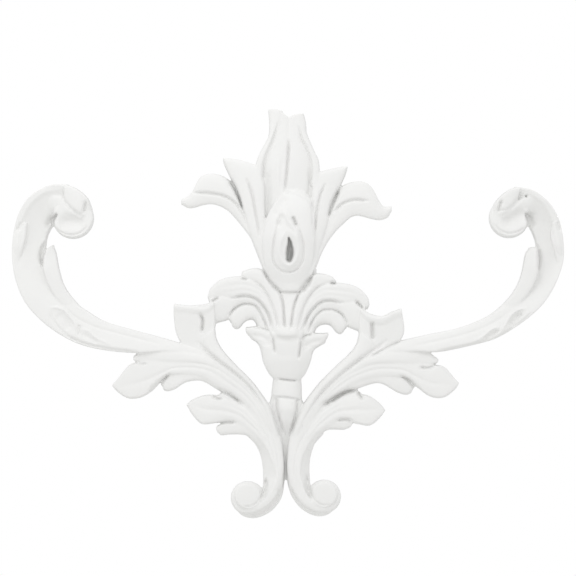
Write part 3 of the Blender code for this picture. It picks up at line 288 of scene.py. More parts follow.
def relief(plan, height, foot):
    """Turn a sheet of drawing points with heights into a closed solid that passes the wall."""
    rows, columns = height.shape
    front = on_wall(plan, height)
    rear = on_wall(foot, np.full(height.shape, -RUN_THROUGH))
    index = np.arange(rows * columns).reshape(rows, columns)
    shift = rows * columns
    faces = []
    for row in range(rows - 1):
        for column in range(columns - 1):
            a, b = index[row, column], index[row, column + 1]
            c, d = index[row + 1, column + 1], index[row + 1, column]
            faces.append((a, b, c, d))
            faces.append((d + shift, c + shift, b + shift, a + shift))
    border = list(index[0, :]) + list(index[1:, -1])
    border += list(index[-1, -2::-1]) + list(index[-2:0:-1, 0])
    for here, there in zip(border, border[1:] + border[:1]):
        faces.append((there, here, here + shift, there + shift))
    return np.concatenate([front.reshape(-1, 3), rear.reshape(-1, 3)]), faces


def webs():
    """The low ground between the leaves, which shows only in the gaps."""
    yield loft(
        [(234, 303), (250, 309), (262, 320), (272, 348)],
        [(340, 305), (322, 310), (312, 320), (301, 348)], 9, 9, 0, bow=(12, 0))
    yield from pair(
        [(207, 364), (222, 382), (238, 398), (250, 414), (258, 430)],
        [(214, 355), (236, 371), (254, 390), (266, 410), (274, 430)],
        [(357, 358), (338, 371), (320, 391), (308, 411), (300, 430)],
        [(366, 364), (350, 381), (333, 398), (321, 414), (315, 430)], 10, 12, 1)
    yield loft(
        [(281, 436), (281.5, 460), (285.5, 479)],
        [(291, 436), (290, 460), (287.5, 479)], 2.5, 2.5, 0)
    yield loft([(258, 168), (262, 215), (272, 262)], [(317, 170), (313, 215), (304, 262)], 8, 9, 0)


def lily():
    """The two tall petals with their rims, two pairs of side petals, the bud and its base."""
    middle = [(288.7, 119), (288.5, 147), (286.5, 170), (285, 190), (286, 268)]
    yield loft(
        [(279, 112), (277, 126), (273, 140), (268, 155), (264, 166), (263, 178), (265, 205), (269, 235),
         (277, 268)], middle, (11, 13, 13, 11, 11, 12, 12), (12, 16, 18, 18, 18, 18), 2)
    yield loft(
        middle,
        [(300, 116), (299.5, 130), (301, 138), (306, 148), (309, 158), (311, 170), (310, 195), (311, 217),
         (303, 268)], (12, 16, 18, 18, 18, 18), (11, 13, 13, 12, 11.5, 12, 12), 2)
    yield loft(
        [(270, 111.5), (271, 124), (270, 137), (265, 147), (260, 157), (257, 168), (258, 182)],
        [(281, 112.7), (278, 126), (274, 137), (270, 147), (266, 158), (263, 168), (262, 184)],
        (10, 13, 16, 17), (13, 15, 16, 16), 1.5, bow=(1, 0))
    yield loft(
        [(294, 117), (298, 130), (301, 139), (306, 149), (310, 160), (312, 172), (312, 186)],
        [(302.5, 115.5), (304.5, 125), (305, 133), (309, 143), (313, 152), (317, 161), (318, 173),
         (317, 186)], (13, 15, 16, 16), (10, 13, 16, 17), 1.5, bow=(0.5, 0))
    yield from pair(
        [(224.5, 159), (225, 163), (229, 172), (233, 180), (240, 195), (245, 212), (252, 236), (260, 257),
         (266, 272)],
        [(224.5, 159), (232, 160), (245, 163), (256, 168), (262, 178), (263.5, 195), (264, 215),
         (266, 240), (274, 272)],
        [(346.5, 167.5), (335, 169.5), (325, 172), (318, 175.5), (313.5, 190), (312, 217), (308, 245),
         (300, 272)],
        [(346.5, 167.5), (344, 175), (340, 184), (336, 194), (330, 210), (324, 232), (317, 255),
         (311, 272)], (11, 14, 15, 16, 16, 17), (11, 16, 18, 18, 18, 18), 2)
    yield from pair(
        [(183, 203), (188, 206.5), (195, 206), (203, 203.5), (211, 202.5), (220, 204.5), (228, 209),
         (235, 216), (243, 226), (250, 236), (256, 247), (261, 258), (265, 270)],
        [(183, 201), (190, 196), (194, 190), (197, 184), (201, 178.5), (209, 175.5), (217, 176),
         (225, 179), (231, 184), (237, 195), (243, 212), (250, 232), (258, 252), (268, 270)],
        [(390, 208.5), (384, 207.5), (379.3, 202), (375.5, 195), (371.5, 188.5), (364, 183.6),
         (355, 183.5), (347, 185.5), (340, 190), (334, 202), (328, 218), (322, 236), (316, 254),
         (309, 270)],
        [(390, 210.5), (387, 216), (380, 218.5), (372, 217.5), (365, 215.5), (357, 214), (350, 216),
         (343, 222), (336, 229), (329, 238), (323, 248), (318, 259), (313, 270)],
        (5, 10, 12, 13, 15), (5, 10, 11, 10, 14), 2.5, below=LEAN)
    yield loft(
        [(262, 254), (266, 271), (273, 283), (280, 291)],
        [(316, 260), (311, 273), (305, 283), (299, 291)], (17, 19, 17), (17, 19, 17), 4)
    yield loft(
        [(264.5, 271), (270, 283), (278, 293)],
        [(315, 271), (309.5, 282), (301, 293)], 8.5, 8.5, 0)
    yield loft(
        [(294, 190.5), (287, 194), (279, 200), (270, 213), (265, 232), (264, 248), (267, 268),
         (277, 289)],
        [(297, 190.5), (304, 193), (309, 199), (313, 220), (313.5, 238), (311, 262), (302, 289)],
        (15, 23, 24, 22, 17), (15, 23, 24, 22, 17), (3, 6, 8, 7, 3))


def palmette():
    """The fan: on each side a small lobe, a broad double lobe and a curl, and the wedge."""
    top_left = [
        (244.5, 277), (246, 279), (253, 281), (261, 286), (268, 296), (274, 310), (278, 322), (280, 340)]
    middle_left = [
        (211, 300), (219, 297.5), (232, 298.5), (245, 296), (258, 300), (266, 309), (271, 320),
        (274, 340)]
    curl_left = [(230, 318), (233, 311), (240, 306), (248, 304), (256, 307), (263, 317), (269, 340)]
    top_right = [
        (332.5, 283.5), (326, 284.5), (318, 288), (310, 295), (304, 306), (299, 320), (295.5, 340)]
    middle_right = [
        (364, 308), (356, 303), (342, 303), (330, 300.5), (319, 303), (310, 312), (305, 321), (301, 340)]
    curl_right = [(345.8, 324), (343, 316), (336, 311), (330, 309.5), (321, 311), (314, 319), (307, 340)]
    yield from pair(
        [(244.3, 273), (248, 271), (258, 270), (267, 276), (277, 291), (281.5, 300), (283.5, 314),
         (285, 340)],
        top_left, top_right,
        [(334, 282), (331, 278), (318, 275), (310, 280), (302, 291.5), (297, 302), (293, 315),
         (290.5, 340)], (13, 19, 21, 23), (13, 18, 20, 22), 2, bow=(1, 0))
    yield from pair(
        [(209, 297), (211, 290), (222, 281), (240, 278)] + top_left[2:],
        [(209.5, 299), (214, 300)] + middle_left[1:],
        [(367, 307.5), (362, 307)] + middle_right[1:],
        [(368, 305), (367, 299), (357, 289), (343, 285)] + top_right[1:],
        (9, 14, 16, 18, 21), (8, 13, 16, 18, 21), 2, flutes=((0.38, (0, 1, 1, 0), 0.1),
        (0.66, (0, 0.8, 0.8, 0), 0.08)))
    yield from pair(
        middle_left,
        [(213, 323), (220, 321), (229, 318)] + curl_left[1:],
        [(361, 331), (352, 327.5)] + curl_right, middle_right, (12, 14, 15, 18), (9, 10, 13, 17), 1.5)
    yield from pair(
        curl_left,
        [(231.5, 321), (232.5, 325.5), (236.5, 328), (240, 326.5), (244, 322), (249, 319), (256, 321),
         (264, 340)],
        [(345, 327), (343.7, 330.5), (340, 333), (336, 331), (330, 324.5), (322, 323.5), (315, 328),
         (311, 340)], curl_right, (11, 14, 16, 18), (10, 12, 13, 15), 2.5)
    yield loft(
        [(281, 293), (283, 305), (285, 340)],
        [(298, 293), (294.5, 305), (290.5, 340)], (17, 21, 23), (17, 21, 23), 1)
    yield loft([(262, 322), (266, 336), (270, 352)], [(313, 322), (309, 336), (304, 352)], 15, 15, 2)


def cup():
    """The flared cup, its rolled rim, the collar and the husk that hangs from it."""
    yield loft(
        [(263, 347), (264, 356), (265.5, 363), (268.5, 370), (272.5, 376), (277, 380)],
        [(311, 349), (310, 357), (308, 364), (305.5, 370), (302, 376), (298, 380)],
        (19, 19, 18, 17), (19, 19, 18, 17), (9, 9, 7, 4))
    yield from pair(
        [(249, 334.5), (252, 338), (257, 341), (260.5, 345.5), (262.5, 352), (265, 362), (270, 371)],
        [(248, 329), (255, 328), (264, 329.5), (272, 335), (276, 345), (278, 358), (280, 372)],
        [(326, 334.8), (318, 334.5), (309, 335.5), (301, 340), (298, 350), (297, 360), (294, 374)],
        [(326, 338), (324.5, 341.5), (319.5, 344.5), (313.5, 348.5), (310.5, 355), (308, 363),
         (303, 372)], (12, 17, 19, 15), (14, 20, 24, 18), 2, bow=(1, 0))
    yield loft(
        [(273.5, 334), (273.5, 342), (276, 354), (278, 366), (281, 376)],
        [(300, 334), (300.5, 344), (298.5, 356), (296, 367), (293, 377)],
        (29, 27.5, 25, 21), (29, 27.5, 25, 21), (1, 1.5, 2, 1))
    yield loft(
        [(271.5, 332), (278, 328.7), (287, 328), (295, 328.7), (302, 334)],
        [(273, 336), (279, 335.5), (287, 336.2), (295, 335.5), (301.5, 338)],
        (26, 31, 32, 31, 26), (26, 32, 33, 32, 26), 1)
    yield loft(
        [(275, 378.5), (273.7, 388), (273, 397)],
        [(299.5, 379.5), (300, 389), (300, 399)], 14, 14, 8)
    yield loft(
        [(273.5, 395), (271, 405), (272, 412), (276, 424), (281, 440), (283.5, 458)],
        [(300, 398), (302, 407), (301, 414), (296, 427), (291, 442), (289, 458)],
        (13, 12, 8, 4, 3), (13, 12, 8, 4, 3), (3, 3, 1, 0))
    yield loft(
        [(279, 395), (278.5, 404), (281, 415), (286, 434)],
        [(294.5, 396), (295, 404), (292.5, 415), (288, 434)],
        (18, 20, 16, 7), (18, 20, 16, 7), (4, 4, 3, 2))


def stems():
    """The two S-shaped ribs with the ears at their upper ends, and the ground they rise from."""
    yield from pair(
        [(232, 409), (243, 419), (254, 431), (263, 442), (269, 452), (273.5, 463), (276.5, 475),
         (276, 488)],
        [(252, 389), (262, 400), (269, 412), (275, 426), (280, 440), (282, 456), (282.5, 470),
         (280.5, 488)],
        [(319, 390), (310, 400), (302, 411), (295, 425), (290.5, 440), (288.8, 456), (288.5, 470),
         (291, 488)],
        [(338, 408), (329, 417), (320, 429), (309, 443), (302.5, 455), (299.8, 468), (300, 480),
         (302, 488)], (9, 11, 14, 15, 16, 17), (13, 13, 12, 12, 12.5, 12), (3, 3, 2, 1.5, 1))
    yield from pair(
        [(247, 434), (256, 443), (261.5, 454), (264, 466), (264.7, 476), (264.5, 488)],
        [(251, 431), (262, 441), (269, 452), (273.5, 463), (276.5, 475), (276, 488)],
        [(321, 431), (309, 443), (302.5, 455), (299.8, 468), (300, 480), (302, 488)],
        [(322, 434), (314, 443), (310.5, 452), (308.5, 461), (308, 472), (309, 488)],
        (7, 5, 4, 4, 4, 5), (12, 14, 15.5, 16, 16.5, 17), 0.5)
    yield from pair(
        [(203, 340), (208, 351), (220, 361), (238, 374), (252, 387), (262, 401), (270, 418), (275, 436),
         (278, 452)],
        [(214, 330), (215.5, 340), (221.8, 351.5), (235, 366.3), (251, 382.4), (263.8, 399.6),
         (270.5, 411), (277.5, 432), (280.3, 452)],
        [(360.3, 334), (357.6, 344.8), (350.5, 354.6), (337.5, 366.6), (321.5, 382.6), (308.6, 399),
         (301.5, 411), (294.5, 430), (290.5, 452)],
        [(374, 344), (368, 352), (357, 360), (341, 373), (326, 386), (314, 400), (303, 419), (297, 436),
         (293, 452)], (13, 16, 18, 18, 16, 11), (14, 16, 16, 16, 14, 9), 2)
    yield loft(
        [(175.5, 306), (175.5, 315), (178, 333), (186, 347), (200, 357), (216, 367)],
        [(213, 304), (214, 323), (213.5, 332), (217, 346), (226, 358), (236, 369)],
        (16, 13, 12, 13), (15, 14, 14, 13), (1, 0, 1), bow=(-2, 0))
    yield loft(
        [(361, 309), (360, 330), (360.5, 338), (355, 351), (345, 361), (334, 371)],
        [(400, 310.5), (402.5, 328), (400, 338), (390, 349), (375, 358), (356, 370)],
        (15, 14, 14, 13), (16, 13, 12, 13), (1, 0, 1), bow=(-8, 0))
    yield loft(
        [(175.7, 305.7), (190, 307.7), (205, 308.7), (213, 303.7)],
        [(176, 313), (190, 314.5), (204, 315.5), (213, 311)], (17, 17, 16), (14, 14, 13), 1.5)
    yield loft(
        [(361, 309.2), (366, 315), (376, 318.5), (384, 317.5), (392, 313.5), (400, 310.7)],
        [(361, 316), (367, 322), (377, 325.5), (386, 324.5), (394, 320.5), (401, 318)],
        (16, 17, 17), (13, 14, 14), 1.5)


def feet():
    """The volute at each foot: a band that turns under and around a flat round boss."""
    crest_left = [
        (276.5, 468), (275.3, 481), (270.5, 492.5), (263, 501.5), (254.5, 506.5), (246, 508),
        (237.5, 503)]
    ridge_left = [
        (282, 468), (280.3, 483), (275.5, 495), (267.5, 504), (257, 510), (246, 512), (236, 504.5)]
    crest_right = [
        (299.8, 468), (301, 481), (305.5, 492.5), (312.5, 501), (321, 506), (329.5, 507), (337, 501.5)]
    ridge_right = [
        (289.8, 468), (291.8, 483), (297, 495.5), (304, 504), (313.5, 509.5), (323.5, 511), (333, 505.5)]
    yield from pair(
        [(264.5, 466), (265, 482), (262.5, 494), (257, 502), (249, 506), (241, 504), (236, 498)],
        crest_left, crest_right,
        [(308, 466), (308, 482), (310.5, 494), (316, 501.5), (323, 505), (331, 503), (336, 497)],
        (2, 5, 8, 12, 13, 13), (11, 17, 17.5, 17.5, 16.5, 14), 0.5)
    yield from pair(
        crest_left, ridge_left, ridge_right, crest_right, (11, 17, 17.5, 17.5, 16.5, 14),
        (7, 13, 16, 16.5, 16, 14), 0.5, rim=0.5)
    yield from pair(
        ridge_left,
        [(283, 468), (283, 484), (279.7, 498.5), (269.8, 510.5), (255.7, 516.6), (243, 514.2),
         (233.5, 503)],
        [(288.3, 468), (288.7, 482), (292.4, 495), (301.5, 507.5), (315.3, 514.8), (328, 513),
         (338, 502)],
        ridge_right, (7, 13, 15.5, 16, 15.5, 14), (5, 7, 5, 4, 5, 8), 0.5, rim=0.5, below=1.0)
    for x, y in ((247.8, 498), (324, 496.6)):
        yield disc(x, y, 15.2, 15.5, 0.5)
        yield disc(x, y - 2.3, 11.8, 19, 0.3, 1.2)


def acanthus():
    """Two lobed leaves on each side, whose bands all run down into the foot."""
    yield from pair(
        [(113.5, 385), (117, 390), (128, 397), (141, 396), (153, 389), (162, 380), (172, 374), (200, 376),
         (219, 387), (233, 395), (246, 405), (256, 418), (264, 434), (270, 452)],
        [(113.5, 385), (117, 381), (127, 369), (133, 365), (150, 362), (180, 359), (205, 359), (222, 364),
         (240, 377), (254, 391), (265, 408), (272, 425), (277, 452)],
        [(457.5, 383), (455, 380), (446, 370), (440, 367), (425, 366), (398, 360), (372, 359),
         (353, 366.5), (338, 377), (323, 393), (311, 410), (301, 428), (294, 452)],
        [(457.5, 383), (455, 388), (444, 396), (431, 395.5), (418, 387), (408, 378), (388, 376),
         (368, 379), (350, 386), (334, 396), (322, 406), (312, 421), (304, 438), (301, 452)],
        (9, 13, 14, 14, 14, 14, 12), (9, 13, 14, 15, 16, 16, 12), (0.5, 1, 2, 2, 1),
        flutes=((0.42, (0, 1.2, 1.2, 1, 0), 0.07), (0.66, (0, 0, 1.2, 1, 0), 0.06)))
    yield from pair(
        [(137, 361), (146, 363.5), (170, 362), (200, 363), (226, 374), (240, 388)],
        [(136, 357), (138, 355), (145, 352), (165, 350.5), (195, 354), (220, 363), (244, 383)],
        [(435.5, 359.5), (432, 356), (426, 353.5), (405, 351.5), (378, 354), (356, 364), (332, 384)],
        [(435, 362.5), (427, 366), (400, 363), (372, 364), (350, 376), (336, 390)],
        (9, 14, 16, 15, 12), (9, 14, 15, 15, 12), 1.5, bow=(1.5, 0))
    yield loft(
        [(163, 384), (163.5, 388), (167, 390), (175, 388), (187, 381), (203, 380), (219, 389), (232, 396),
         (244, 406)],
        [(165, 378), (170, 373), (188, 370), (207, 373), (226, 383), (240, 392), (250, 402)],
        (9, 12, 12, 12, 9), (10, 13, 14, 14, 11), 1, bow=(1, 0))
    yield loft(
        [(411, 383), (405, 377), (388, 373), (368, 375), (350, 383), (336, 392), (322, 404)],
        [(412.5, 387), (411.5, 391), (406, 393.5), (397, 391), (378, 382), (357, 387.5), (342, 393),
         (328, 404)], (10, 13, 14, 14, 11), (9, 12, 12, 12, 9), 1, bow=(2.5, 0))
    yield from pair(
        [(188, 405), (191, 411), (199, 420.5), (205, 423), (219, 421.5), (232, 421.5), (246, 429),
         (258, 438), (267, 449), (272, 460)],
        [(188, 405), (191, 402), (203, 397), (218, 397), (232, 402), (245, 410), (256, 422), (264, 435),
         (270, 448), (275, 460)],
        [(384, 410), (380, 405), (368, 397), (354, 397), (338, 402), (325, 411), (314, 424), (306, 438),
         (300, 450), (296.5, 461)],
        [(384, 410), (381, 415), (370, 424), (357, 422.5), (342, 420), (329, 426), (317, 434), (307, 445),
         (301, 455), (299, 462)],
        (9, 13, 13, 13, 13, 12), (9, 13, 14, 15, 15, 13), (0.5, 1, 2, 2, 1),
        flutes=((0.5, (0, 1.2, 1.2, 1, 0), 0.08), (0.76, (0, 0, 1, 1, 0), 0.06)))
    yield from pair(
        [(216, 398), (230, 405), (248, 420)],
        [(218, 396), (223, 393.5), (230, 397), (250, 413)],
        [(360, 393.5), (356, 390.5), (348, 393), (336, 401), (320, 414)],
        [(362, 397), (350, 401), (338, 409), (324, 422)], (9, 13, 13), (9, 12, 13), 1.5)
    yield from pair(
        [(219, 431.5), (221, 434), (232, 433), (246, 434), (254, 440), (260, 448)],
        [(219, 427), (224, 422), (233, 420), (245, 424), (256, 434), (265, 445)],
        [(350, 423), (344, 419), (334, 420), (322, 426), (313, 436), (306, 447)],
        [(348, 427), (344, 428.5), (328, 428.5), (319, 435), (314, 442), (311, 450)],
        (9, 11, 12, 11, 7), (10, 13, 14, 14, 13), 1, bow=(1, 0))


def arms():
    """The two long C-scrolls, each ending in a roll, with the small leaves laid on them."""
    outer_left = [
        (250, 390), (236, 376), (215, 364), (190, 355), (165, 351), (140, 352.5), (110, 350.3),
        (84.6, 345), (64.5, 336), (44.3, 321.7), (27.2, 302.4), (17.5, 280), (14, 256), (15.5, 233),
        (21, 213), (31, 198), (46, 188.5), (57, 185.8), (67, 187)]
    inner_left = [
        (252, 386), (232, 370), (212, 357), (195, 349), (180, 344), (158, 337.5), (130, 330),
        (103, 321.5), (82, 308.5), (64, 297), (52, 284), (46, 272), (44, 262), (46, 247), (47.5, 237),
        (50.5, 230), (54, 224), (58, 215), (67, 210)]
    yield loft(
        outer_left, inner_left, (11, 12, 15, 17, 17, 18, 19, 20, 21, 20),
        (12, 14, 14, 12, 12, 13, 14, 12, 8, 15), (1, 1, 1, 0, 0), rim=1,
        flutes=((0.6, (0, 0, 0, 0, 0, 0, 1, 3, 4, 0), 0.45),), below=4)
    outer_right = [
        (322, 390), (336, 376), (358, 364), (384, 354), (410, 351), (436, 351.5), (465, 346),
        (493, 338.5), (516, 325.5), (532, 313), (545, 299), (555, 281), (561.5, 261), (561.5, 241),
        (557.5, 221), (548.5, 205), (536, 194), (526, 190), (515.5, 189.3)]
    inner_right = [
        (320, 386), (338, 371), (360, 357), (380, 349), (400, 342), (430, 335), (460, 328.5), (484, 319),
        (502, 308), (517, 299), (528, 286), (534, 274), (537, 260), (536, 247), (534, 238), (531, 231),
        (527.5, 224), (524, 215), (514, 209)]
    yield loft(
        inner_right, outer_right, (12, 14, 14, 12, 12, 13, 14, 12, 8, 15),
        (11, 12, 15, 17, 17, 18, 19, 20, 21, 20), (1, 1, 1, 0, 0), rim=1,
        flutes=((0.42, (0, 0, 0, 0, 0, 0, 2, 6, 8, 0), 0.45),), below=4)
    yield disc(73.4, 218.6, 18.9, 18.5, 0.5)
    yield disc(508.8, 218.4, 18.3, 18.5, 0.5)
    yield loft(
        [(34, 213), (42, 205), (51, 199), (61, 198), (70, 203), (78, 208.5), (84, 215)],
        [(44, 219), (49, 214), (55, 211.5), (62, 212), (69, 214), (75, 216.5), (81, 219)],
        (8, 12, 17, 18.5, 19.5, 20), (7, 10, 16, 19, 19.5, 20), 0.8, rim=0.3)
    yield loft(
        [(550, 212), (543, 205), (534, 199), (525, 198.5), (516, 203), (508, 208.5), (501, 215)],
        [(539, 219), (535, 214), (528.5, 211.5), (521, 212), (514, 214), (508, 216.5), (503, 219)],
        (8, 12, 17, 18.5, 19.5, 20), (7, 10, 16, 19, 19.5, 20), 0.8, rim=0.3)
    yield from pair(
        [(66.5, 202), (70, 206), (75, 210.5), (80, 214), (84.5, 217.5)],
        [(66, 187), (73, 188.8), (81, 193.7), (87.5, 200.5), (91, 209)],
        [(518, 189.4), (510, 191.3), (502.5, 196.3), (496, 203.5), (491.7, 212)],
        [(515, 203), (512, 206.5), (507.5, 210), (503, 213), (498.5, 217)],
        (19, 21, 22, 22, 18.5), (20.5, 22.5, 23, 22, 17.5), (0.5, 1, 1, 0.5))
    yield from pair(
        [(43, 208), (45, 218), (49, 225)],
        [(63, 208), (61, 218), (56, 224.5)],
        [(517, 208), (520, 218), (526, 224.5)],
        [(537, 208), (535, 218), (531, 225)], 6, 6, 0)
    yield from pair(
        [(47.5, 251), (44.5, 262), (47.5, 278), (56, 296), (72, 313), (92, 325)],
        [(52.5, 247.5), (55, 254), (58.5, 272), (64.5, 289), (79, 307), (97, 321)],
        [(530, 249.5), (526.5, 255), (522.5, 275), (515.5, 291), (502, 307), (486, 319.5)],
        [(536, 250), (537, 262), (534, 280), (524, 297), (508, 314), (491, 325)],
        (18, 19.5, 17, 15, 12, 9), (13, 15.5, 15, 13, 11, 9), 1, bow=(1, 0))
    yield from pair(
        [(22, 225), (17.5, 236), (15.5, 250), (18.5, 266)],
        [(26.5, 225), (26, 236), (22.5, 250), (20, 268)],
        [(552.5, 224), (551, 236), (554.5, 250), (558, 266)],
        [(556.5, 223), (559, 235), (560.5, 250), (559.5, 268)], (19, 19.5, 16), (20.5, 20.5, 16), 0.3)


